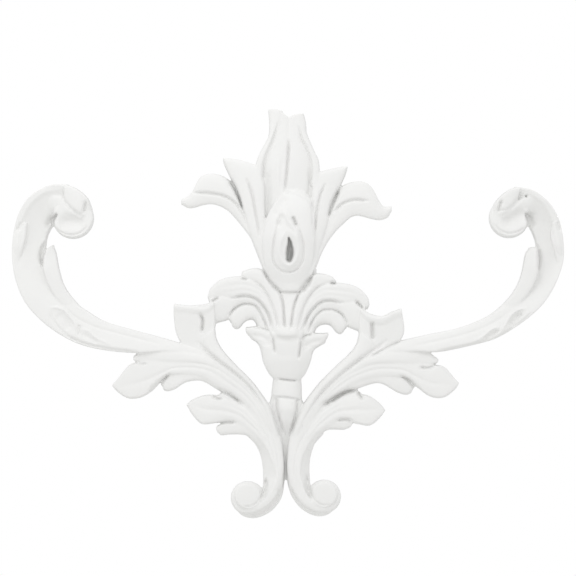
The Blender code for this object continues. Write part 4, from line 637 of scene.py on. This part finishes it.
# Creases and ridges worked in after fusing: points, half width, depth (less than 0 raises)
STROKES = (
    # Tall petals: the groove between them, the folds beside their rims, the shaded hollows
    (((288.8, 142), (288.3, 155), (287, 172), (284.8, 192)), 1.3, 4.2),
    (((282, 160), (281, 175), (281, 190)), 1.6, 1.2),
    (((278, 124), (274.5, 136), (270, 147), (266, 157), (263.5, 168), (263, 182)), 1.3, 3.2),
    (((299, 128), (301.5, 139), (306.5, 149), (310, 160), (311.5, 172), (310, 186)), 1.2, 3.2),
    (((267, 172), (267.5, 190), (268, 212)), 3.4, 2.4),
    (((309.5, 170), (309.5, 186), (308, 198)), 2.0, 1.6),
    (((311.5, 202), (312.4, 214), (312.8, 228)), 1.1, 2.4),
    # Second petals: the fold down each blade
    (((247, 180), (252, 194), (254.5, 207), (257, 220), (259.5, 236)), 1.2, 3.5),
    (((325, 185), (320.5, 195), (317.5, 207), (315.5, 220), (314, 236)), 1.2, 3.5),
    # The slits between the second and the outer petals
    (((230, 180), (235, 188.5), (239.5, 199), (243, 210)), (2.2, 1.6, 0.6), 7.5),
    (((338.5, 189), (336, 195.5), (332, 204), (328, 217)), (1.7, 1.8, 1.0), 8.0),
    # Outer petals: the valley under the upper band
    (((194, 193), (205, 193), (217, 194.5), (227, 197.5), (236, 204), (243, 213)), 1.3, 3.8),
    (((368, 201), (356, 200), (348, 201.5), (341, 205), (334, 212)), 1.3, 3.8),
    # Bud: the lip around the drop, the groove outside it, the drop and the dimples above
    (((288, 230), (282, 238), (279.5, 250), (282, 261), (289, 266), (296, 260), (298.5, 249),
      (295.5, 238), (288, 230)), 2.4, -2.0),
    (((279, 222), (276.5, 231), (273.5, 246), (273.5, 261), (279, 269.5), (288, 272.5),
      (297, 269.5), (302.5, 261), (303.5, 247), (300.5, 234), (295, 222)), 1.1, 2.6),
    (((280.6, 217.5), (279, 224)), 2.7, 3.6),
    (((293.4, 218.5), (296, 225)), 1.4, 5.0),
    (((299, 240), (295, 231), (289, 222), (284, 211)), 2.1, -2.0),
    (((287, 199), (281, 206), (275, 217)), (2.6, 3.6, 2.6), 2.4),
    (((269, 214), (275, 204.5), (282, 197), (288.5, 192), (296, 193), (304, 198), (309, 207)),
     1.5, -1.4),
    (((263, 270), (271, 283), (279.5, 291.5)), (1.2, 1.7), 6.5),
    (((311.5, 276), (307, 284), (301, 292)), (1.6, 2.7, 2.2), 8.0),
    (((279, 292), (300, 292)), 1.1, 2.4),
    # Palmette: the lines between the lobes
    (((280, 293), (283, 305), (284.9, 329)), 1.1, 4.5),
    (((299, 293), (294, 307), (290.7, 329)), 1.1, 4.5),
    (((232, 298.5), (245, 296), (258, 300), (268.5, 314), (273, 330)), 1.3, 4.0),
    (((302, 330), (309.5, 313), (320, 302.5), (330, 300.5), (342, 303)), 1.3, 4.0),
    (((229, 318), (233, 310.5), (240, 305.5), (248, 304), (257, 307.5), (264, 320),
      (268, 332)), 1.1, 4.6),
    (((347, 323), (342, 315), (336, 311), (330, 309.5), (321, 311), (313, 320), (308, 332)),
     1.1, 4.6),
    (((253, 281), (262, 287), (269, 298), (275, 313), (278.5, 328)), 1.0, 2.0),
    (((326, 284.5), (317, 288), (309, 297), (303, 309), (298.5, 328)), 1.0, 2.0),
    (((212, 301.5), (215.5, 299.5), (218.5, 297.5)), 1.4, 4.5),
    (((363, 309), (359.5, 305), (356, 301.5)), 1.4, 6.0),
    (((331.5, 283), (334.5, 283.3)), 1.4, 6.0),
    (((242.5, 278.7), (246, 279.5)), 1.2, 4.0),
    # Cup: the folds of its front petal and the line over the collar
    (((252, 335.5), (259, 336), (266, 339), (270, 346)), 2.2, 1.5),
    (((322, 340.5), (315, 341.5), (308, 344.5), (304, 351)), 2.2, 1.5),
    (((276, 338.5), (283, 338.5), (291, 339), (298, 338.5)), 2.4, 1.4),
    (((273, 337), (274, 344), (275.2, 352)), 1.1, 4.5),
    (((301, 339.5), (300, 348), (298.7, 358)), 1.1, 4.5),
    (((300, 339), (305, 336), (312, 334)), 1.0, 4.0),
    (((254, 327.3), (262, 328.5), (271, 331.5)), 0.9, 3.0),
    (((279, 378.3), (286, 379.5), (296, 380.3)), 1.0, 5.0),
    (((272.5, 396.5), (286, 397), (301, 399.5)), 1.0, 3.0),
    (((277.5, 397.5), (277.3, 408), (280.3, 420), (284.5, 434)), 1.2, 2.6),
    (((296.2, 400), (296.5, 410), (293.7, 422), (290.5, 435)), 1.2, 2.6),
    (((273.5, 400), (272.8, 410), (276, 424), (280, 436)), 0.9, 1.5),
    # Ears: the pits under the rolled band
    (((200.5, 314), (203, 321), (202, 332)), 1.4, 6.0),
    (((372, 324), (372.5, 337)), 1.8, 6.0),
    # Stems: the broad dark line beside each rib
    (((198, 342), (208, 351.5), (220, 361.5), (238, 375), (252, 389), (262, 404)), 1.6, 2.8),
    (((386, 341), (371, 352), (357, 361), (341, 373.5), (326, 387), (315, 400)), 1.6, 2.4),
    (((401, 341), (392, 345), (382, 350), (370, 357)), 1.2, 3.4),
    # Acanthus: the deep slot between the two leaves and the pockets between their lobes
    (((217, 389.5), (226, 392), (235, 397.5), (243, 404)), (1.9, 1.3), 4.0),
    (((356, 389.5), (345, 392), (333, 398.5), (323, 405)), 2.0, 8.0),
    (((137, 362.3), (141, 364), (147, 363.7)), 1.4, 2.6),
    (((434, 365.5), (429, 367.5), (420, 367.5)), 1.4, 4.0),
    (((151, 392), (156.5, 387), (161.5, 381.5), (166, 377), (170.5, 373.5)),
     (2.8, 2.8, 2.0, 1.0), 5.8),
    (((419, 390), (413, 385), (407, 379), (400, 375.5)), (2.4, 1.8, 1.0), 5.2),
    (((220, 423), (226, 422), (235, 422)), 1.4, 4.5),
    (((352, 420.5), (345, 419), (337, 420)), 1.4, 4.5),
    (((212.5, 395.5), (216.5, 398), (222, 399)), 1.4, 4.5),
    (((358, 391.5), (359.5, 395), (362, 399)), 1.3, 6.0),
    # Feet: the crescent beside each boss and the fine line around it
    (((263, 484), (262.5, 492), (258, 500.5), (251, 505.5), (244, 505.5)), 1.1, 1.6),
    (((266.2, 478), (264.8, 489), (261, 498)), (1.0, 2.4, 1.6), 5.0),
    (((309.5, 484), (310.5, 492), (315, 500), (321.5, 504.3), (329, 504)), 1.1, 1.6),
    (((306.6, 476), (307.8, 488), (312, 498)), (1.2, 3.0, 1.8), 5.5),
    # Feet: the shaded strip along the lower edge
    (((281, 487), (277.5, 498.5), (268.5, 508.8), (255.5, 514.6), (245, 513)), 1.6, 3.5),
    (((290.5, 487), (294.5, 495.5), (302.8, 505.8), (315.5, 512.8), (325, 512.3)), 1.6, 3.5),
    # Feet: the fine lines down each stem
    (((259, 424), (267, 437), (271.5, 450), (275, 466), (275.5, 480)), 0.9, 0.9),
    (((267, 424), (273, 438), (276.5, 452), (279, 468)), 0.9, 0.7),
    (((312, 424), (303, 437), (297, 450), (294, 466), (295, 480)), 0.9, 0.9),
    # Arms: the light rim along the outer edge and the step inside it
    (((17, 258), (18.5, 240), (23, 219), (32, 203), (46, 192.5), (60, 190)), 2.2, -1.2),
    (((559, 258), (557, 240), (552, 221), (543, 204), (531, 195), (521, 193.5)), 2.2, -1.2),
    # Arms: the pits beside the tongues, and the hole inside each roll
    (((46.5, 242), (43.5, 249), (42, 257), (43, 266)), (1.6, 2.4, 1.4), 8.0),
    (((535.5, 244), (538, 251), (538.5, 259), (537.5, 270)), (1.6, 2.4, 1.4), 3.2),
    (((50, 224), (52.5, 218.5)), 3.6, 5.0),
    (((531.5, 224), (529, 218)), 3.6, 5.0),
    # Arms: the small leaf along the outer edge, and the pit at its tip
    (((27.7, 227), (27, 237), (23.7, 250), (20, 263)), 1.3, 1.4),
    (((19.5, 229), (22, 224.5)), 1.7, 3.4),
    (((550.7, 227), (551.7, 237), (554.8, 248), (558.5, 258)), 1.3, 1.4),
    (((559, 229), (557, 223.5)), 1.9, 3.0),
    # Rolls: the ring around the bowl, and the edge of the leaf laid over it
    (((57.5, 229), (63, 233), (72, 235.2), (81, 233), (88, 227)), 1.0, 1.8),
    (((524, 228), (517, 232), (508.5, 233.5), (500, 231), (494, 225)), 1.0, 1.8),
    (((64, 190), (64.2, 195.5), (64, 201)), 1.3, 1.0),
    (((64.5, 201), (70, 207), (76, 212), (82.5, 216.5)), 1.6, 1.8),
    (((521, 192.5), (517.5, 199), (513.5, 205), (508.5, 209)), 2.1, 1.9),
    (((509, 208.5), (504, 210.5), (498, 211)), 1.4, 1.8),
    (((67, 222), (77, 222)), 6.0, 5.0),
    (((519.5, 214.5), (509, 220.5)), 6.2, 6.5),
    (((86.5, 202), (85.5, 207), (85, 212.5)), 1.5, 4.5),
    (((501, 201), (499, 206), (498, 211.5)), 1.5, 4.5),
    # Arms: the shaded strip along the lower edge
    (((64, 334.5), (85, 343.5), (110, 349), (138, 352.3)), 1.5, 3.0),
    (((438, 351.3), (465, 346), (493, 338.5), (515, 326), (530, 314)), 1.5, 3.0),
    # Arms: the faint line that runs on from each tongue, and the leaves under the bend
    (((60, 302), (76, 317), (96, 327), (125, 335), (160, 344)), 1.5, 0.8),
    (((512, 309), (496, 321), (474, 331), (445, 339), (412, 346)), 1.5, 0.8),
    (((52, 308), (58, 307.5), (65, 310.5), (70, 316), (76, 324), (79, 334)), 1.3, -1.5),
    (((58, 314), (65, 320), (70, 330)), 4.0, 2.0),
    (((52, 311), (53, 318), (60, 328), (70, 336)), 1.2, 1.2),
    (((80, 326), (79.5, 334)), 1.1, 1.6),
    (((82, 329), (89, 331), (97, 338), (110, 344)), 1.3, -1.0),
    (((83, 334), (90, 338), (98, 342.5)), 2.2, 1.6),
    (((525, 308.5), (518, 309.5), (511, 314.5), (506, 322), (501, 330)), 1.3, -1.5),
    (((521.5, 313), (515.5, 318), (510, 327)), (2.4, 3.6, 3.0), 5.0),
    (((498, 326.5), (491, 329), (484, 335), (474, 341)), 1.3, -1.2),
    (((498, 330.5), (491.5, 334.5), (484, 339)), (1.8, 2.8, 2.0), 4.0),
)

# Holes with steep sides: points, half width, depth
HOLES = (
    (((288.8, 238), (289.8, 243), (290, 249), (289.8, 254.5), (289.3, 259.2)),
     (0.7, 1.9, 3.1, 3.5, 2.7), 18.5),
    (((54, 225.5), (53.3, 220.5), (56.8, 215)), (1.2, 2.2, 1.3), 10.0),
    (((528.2, 225), (528.4, 220), (526, 214.5)), (1.4, 2.6, 1.6), 11.0),
    (((525.3, 196), (525.5, 197.2)), 0.7, 5.0),
)


def work_strokes(points, strokes, power=2, ends=0.3):
    """Press every crease into the front, deepest on its line.

    A higher power gives steeper sides, and ends is the share of the depth left at both ends.
    The pits, whose routes have only two points, keep their full depth.
    """
    x = points[:, 0] / MM + SHEET_X
    y = SHEET_Y - points[:, 2] / MM
    height = -points[:, 1] / MM
    for route, half, depth in strokes:
        line = spline(route, STROKE_POINTS)
        marks = np.linspace(0, 1, STROKE_POINTS)
        widths = np.interp(marks, np.linspace(0, 1, np.size(half)), np.atleast_1d(half))
        reach = STROKE_REACH * widths.max()
        near = ((x > line[:, 0].min() - reach) & (x < line[:, 0].max() + reach)
                & (y > line[:, 1].min() - reach) & (y < line[:, 1].max() + reach)
                & (height > FLOOR))
        chosen = np.nonzero(near)[0]
        spots = np.stack([x[chosen], y[chosen]], axis=1)
        begin, step = line[:-1], np.diff(line, axis=0)
        length = np.maximum((step ** 2).sum(axis=1), TINY)
        along = np.clip(((spots[:, None, :] - begin) * step).sum(axis=2) / length, 0, 1)
        away = np.linalg.norm(spots[:, None, :] - begin - along[..., None] * step, axis=2)
        closest = away.argmin(axis=1)
        rows = np.arange(len(chosen))
        place = (closest + along[rows, closest]) / len(step)
        fade = 1.0
        if len(route) > 2:
            fade = np.clip(np.minimum(place, 1 - place) * STROKE_FADE + ends, 0, 1)
        spread = away[rows, closest] / np.interp(place, marks, widths)
        press = depth * fade * np.exp(-spread ** power)
        height[chosen] = np.maximum(height[chosen] - press, np.minimum(height[chosen], FLOOR))
    points[:, 1] = -height * MM


def evaluated(item):
    """A new mesh that holds the object as its modifiers leave it."""
    bpy.context.view_layer.update()
    view = bpy.context.evaluated_depsgraph_get()
    return bpy.data.meshes.new_from_object(item.evaluated_get(view))


def apply_modifiers(item):
    """Bake the object's modifiers into its mesh."""
    mesh = evaluated(item)
    item.modifiers.clear()
    item.data = mesh


def placed(name, data):
    """Make an object of the data and link it to the scene."""
    item = bpy.data.objects.new(name, data)
    bpy.context.scene.collection.objects.link(item)
    return item


def add_smoothing(item, name, rounds):
    """Add a modifier that smooths the item this many times."""
    smoothing = item.modifiers.new(name, "SMOOTH")
    smoothing.factor = SMOOTHING
    smoothing.iterations = rounds


def joined_mesh(solids):
    """Put all closed solids into one mesh, still overlapping."""
    points, faces, shift = [], [], 0
    for solid_points, solid_faces in solids:
        points.append(solid_points)
        faces += [tuple(corner + shift for corner in face) for face in solid_faces]
        shift += len(solid_points)
    mesh = bpy.data.meshes.new(CASTING)
    mesh.from_pydata(np.concatenate(points).tolist(), [], faces)
    return mesh


def work_creases(item):
    """Work the creases and ridges into the object's own mesh."""
    points = np.empty(len(item.data.vertices) * 3)
    item.data.vertices.foreach_get("co", points)
    points = points.reshape(-1, 3)
    work_strokes(points, STROKES)
    work_strokes(points, HOLES, power=4, ends=1)
    item.data.vertices.foreach_set("co", points.ravel())
    item.data.update()


def flatten_back(mesh):
    """Shade the faces that lie against the wall flat, and all others smooth."""
    mesh.shade_smooth()
    for face in mesh.polygons:
        face.use_smooth = face.normal.y < BACK_FACING


def wall_block():
    """The block behind the wall, which cuts the back flat."""
    mesh = bpy.data.meshes.new("wall_block")
    block = bmesh.new()
    bmesh.ops.create_cube(block, size=1.0)
    bmesh.ops.scale(block, vec=(WALL_SIDE, WALL_DEPTH, WALL_SIDE), verts=block.verts)
    bmesh.ops.translate(block, vec=(0.0, WALL_DEPTH / 2, 0.0), verts=block.verts)
    block.to_mesh(mesh)
    block.free()
    return placed("wall_block", mesh)


def fitted(node, values):
    """Set the named inputs of a node, and hand the node back."""
    for name, value in values.items():
        node.inputs[name].default_value = value
    return node


def primer_material(settings):
    """White primer: sprayed over the casting, a little uneven in tone, gloss and surface."""
    material = bpy.data.materials.new("white_primer")
    material.use_nodes = True
    nodes = material.node_tree.nodes
    links = material.node_tree.links
    shader = fitted(nodes["Principled BSDF"], {"Metallic": 0.0, "Specular IOR Level": SPECULAR})
    place = nodes.new("ShaderNodeTexCoord")
    cloud = fitted(nodes.new("ShaderNodeTexNoise"), {"Scale": CLOUDS, "Detail": CLOUD_DETAIL})
    links.new(place.outputs["Object"], cloud.inputs["Vector"])
    tone = nodes.new("ShaderNodeValToRGB")
    for stop, position, share in zip(tone.color_ramp.elements, TONE_STOPS, (SHADE, 1.0)):
        stop.position = position
        stop.color = [part * share for part in settings.primer] + [1.0]
    links.new(cloud.outputs["Fac"], tone.inputs["Fac"])
    links.new(tone.outputs["Color"], shader.inputs["Base Color"])
    gloss = fitted(nodes.new("ShaderNodeMapRange"), {
        "To Min": settings.roughness - GLOSS_SPREAD, "To Max": settings.roughness + GLOSS_SPREAD})
    links.new(cloud.outputs["Fac"], gloss.inputs["Value"])
    links.new(gloss.outputs["Result"], shader.inputs["Roughness"])
    grain = fitted(nodes.new("ShaderNodeTexNoise"), {"Scale": GRAINS, "Detail": GRAIN_DETAIL})
    links.new(place.outputs["Object"], grain.inputs["Vector"])
    bump = fitted(nodes.new("ShaderNodeBump"),
                  {"Strength": GRAIN_STRENGTH, "Distance": GRAIN_DEPTH})
    links.new(grain.outputs["Fac"], bump.inputs["Height"])
    links.new(bump.outputs["Normal"], shader.inputs["Normal"])
    return material


def plain_material(name, colour, roughness):
    """A plain painted surface of the stage."""
    material = bpy.data.materials.new(name)
    material.use_nodes = True
    fitted(material.node_tree.nodes["Principled BSDF"],
           {"Base Color": [*colour, 1.0], "Roughness": roughness})
    return material


def soft_lamp(name, place, aim, size, power):
    """A square soft light at place, turned to aim."""
    lamp = bpy.data.lights.new(name, "AREA")
    lamp.shape = "SQUARE"
    lamp.size = size
    lamp.energy = power
    item = placed(name, lamp)
    item.location = place
    item.rotation_euler = (Vector(aim) - Vector(place)).to_track_quat("-Z", "Y").to_euler()


def white_surround(front, behind):
    """A world that the camera sees as plain white and that lights softly from the front."""
    world = bpy.data.worlds.new("studio")
    world.use_nodes = True
    bpy.context.scene.world = world
    nodes = world.node_tree.nodes
    links = world.node_tree.links
    seen = fitted(nodes["Background"], {"Color": WHITE, "Strength": 1.0})
    direction = nodes.new("ShaderNodeTexCoord")
    facing = nodes.new("ShaderNodeVectorMath")
    facing.operation = "DOT_PRODUCT"
    facing.inputs[1].default_value = LIGHT_FROM
    links.new(direction.outputs["Generated"], facing.inputs[0])
    spread = fitted(nodes.new("ShaderNodeMapRange"), {
        "From Min": -1.0, "From Max": 1.0, "To Min": behind, "To Max": front})
    links.new(facing.outputs["Value"], spread.inputs["Value"])
    glow = nodes.new("ShaderNodeBackground")
    links.new(spread.outputs["Result"], glow.inputs["Strength"])
    path = nodes.new("ShaderNodeLightPath")
    choice = nodes.new("ShaderNodeMixShader")
    links.new(path.outputs["Is Camera Ray"], choice.inputs["Fac"])
    links.new(glow.outputs["Background"], choice.inputs[1])
    links.new(seen.outputs["Background"], choice.inputs[2])
    links.new(choice.outputs["Shader"], nodes["World Output"].inputs["Surface"])


class CastingSettings(bpy.types.PropertyGroup):
    """Fineness and finish of the casting."""

    fineness: bpy.props.FloatProperty(
        name="Fineness", description="Size of the cells that fuse the lofts, in millimetres",
        default=0.75, min=0.6, max=3.0)
    smooth_rounds: bpy.props.IntProperty(
        name="Smoothing", description="Rounds of smoothing before the creases are worked in",
        default=3, min=0, max=10)
    triangles: bpy.props.IntProperty(
        name="Triangles", description="Number of triangles that the casting is reduced to",
        default=190000, min=5000, max=199000)
    primer: bpy.props.FloatVectorProperty(
        name="Primer", description="Colour of the white primer", subtype="COLOR",
        default=PRIMER, size=3, min=0.0, max=1.0)
    roughness: bpy.props.FloatProperty(
        name="Roughness", description="How matte the primer is", subtype="FACTOR",
        default=0.65, min=0.1, max=0.9)


class StageSettings(bpy.types.PropertyGroup):
    """Place of the floor, the camera and the lights."""

    floor_size: bpy.props.FloatProperty(
        name="Floor size", description="Side of the square floor", unit="LENGTH",
        default=2.4, min=0.5)
    floor_drop: bpy.props.FloatProperty(
        name="Floor drop", description="How far the floor lies under the mount", unit="LENGTH",
        default=0.45, min=0.25)
    camera_distance: bpy.props.FloatProperty(
        name="Camera distance", description="From the wall to the camera", unit="LENGTH",
        default=5.0, min=1.0)
    key_power: bpy.props.FloatProperty(
        name="Key light", description="Power of the soft light above, in watts", default=2.4)
    surround_front: bpy.props.FloatProperty(
        name="Light from the front", description="Strength of the surround before the casting",
        default=1.355)
    surround_behind: bpy.props.FloatProperty(
        name="Light from behind", description="Strength of the surround behind the casting",
        default=0.83)


class MOULDING_OT_casting(bpy.types.Operator):
    """Build the casting and put it in the place of its node"""

    bl_idname = "moulding.casting"
    bl_label = "Scroll and lily casting"

    def execute(self, context):
        settings = context.scene.moulding_casting
        coarse = 1.0
        solids = []
        for group in (webs, lily, palmette, cup, stems, feet, acanthus, arms):
            solids += list(group())
        casting = placed("carved_casting", joined_mesh(solids))
        fuse = casting.modifiers.new("fuse", "REMESH")
        fuse.mode = "VOXEL"
        fuse.voxel_size = settings.fineness * coarse * MM
        add_smoothing(casting, "soften", settings.smooth_rounds)
        apply_modifiers(casting)
        work_creases(casting)
        add_smoothing(casting, "settle", 1)
        trim = casting.modifiers.new("flat back", "BOOLEAN")
        trim.operation = "DIFFERENCE"
        trim.solver = "EXACT"
        block = wall_block()
        trim.object = block
        reduce = casting.modifiers.new("reduce", "DECIMATE")
        reduce.ratio = min(1.0, settings.triangles / (2 * len(casting.data.polygons)))
        apply_modifiers(casting)
        bpy.data.objects.remove(block)
        casting.data.materials.clear()
        casting.data.materials.append(primer_material(settings))
        flatten_back(casting.data)
        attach(casting, "root")
        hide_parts(CASTING)
        print("casting triangles", sum(len(face.vertices) - 2 for face in casting.data.polygons))
        return {"FINISHED"}


class MOULDING_OT_stage(bpy.types.Operator):
    """Set the floor, the lights and the camera"""

    bl_idname = "moulding.stage"
    bl_label = "Stage"

    def execute(self, context):
        settings = context.scene.moulding_stage
        half = settings.floor_size / 2
        mesh = bpy.data.meshes.new("floor")
        corners = [(-half, -half, 0), (half, -half, 0), (half, half, 0), (-half, half, 0)]
        mesh.from_pydata(corners, [], [(0, 1, 2, 3)])
        mesh.materials.append(plain_material("pale_floor", FLOOR_COLOUR, FLOOR_ROUGHNESS))
        floor = placed("floor", mesh)
        floor.location.z = -settings.floor_drop
        white_surround(settings.surround_front, settings.surround_behind)
        soft_lamp("key", KEY_PLACE, (0, 0, 0), KEY_SIDE, settings.key_power)
        camera = placed("camera", bpy.data.cameras.new("camera"))
        middle = IMAGE_WIDTH / 2
        camera.location = ((middle - SHEET_X) * MM, -settings.camera_distance,
                           (SHEET_Y - middle) * MM)
        camera.rotation_euler = (math.radians(90), 0, 0)
        camera.data.sensor_width = SENSOR
        camera.data.lens = SENSOR * settings.camera_distance / (IMAGE_WIDTH * MM)
        context.scene.camera = camera
        context.scene.view_settings.view_transform = "Standard"
        return {"FINISHED"}


class MOULDING_PT_panel(bpy.types.Panel):
    """The pieces of the ornament and their settings"""

    bl_idname = "MOULDING_PT_panel"
    bl_label = "Ceiling corner moulding"
    bl_space_type = "VIEW_3D"
    bl_region_type = "UI"
    bl_category = "Moulding"

    def draw(self, context):
        layout = self.layout
        for settings in (context.scene.moulding_casting, context.scene.moulding_stage):
            box = layout.box()
            for name in type(settings).__annotations__:
                box.prop(settings, name)
        layout.operator(MOULDING_OT_casting.bl_idname)
        layout.operator(MOULDING_OT_stage.bl_idname)


CLASSES = (CastingSettings, StageSettings, MOULDING_OT_casting, MOULDING_OT_stage,
           MOULDING_PT_panel)


def register():
    """Make the classes and the settings known to Blender."""
    for each in CLASSES:
        bpy.utils.register_class(each)
    bpy.types.Scene.moulding_casting = bpy.props.PointerProperty(type=CastingSettings)
    bpy.types.Scene.moulding_stage = bpy.props.PointerProperty(type=StageSettings)


def unregister():
    """Take the classes and the settings out again."""
    del bpy.types.Scene.moulding_stage
    del bpy.types.Scene.moulding_casting
    for each in reversed(CLASSES):
        bpy.utils.unregister_class(each)


def main():
    """Build every piece and the stage."""
    register()
    bpy.ops.moulding.casting()
    bpy.ops.moulding.stage()


if __name__ == "__main__":
    main()
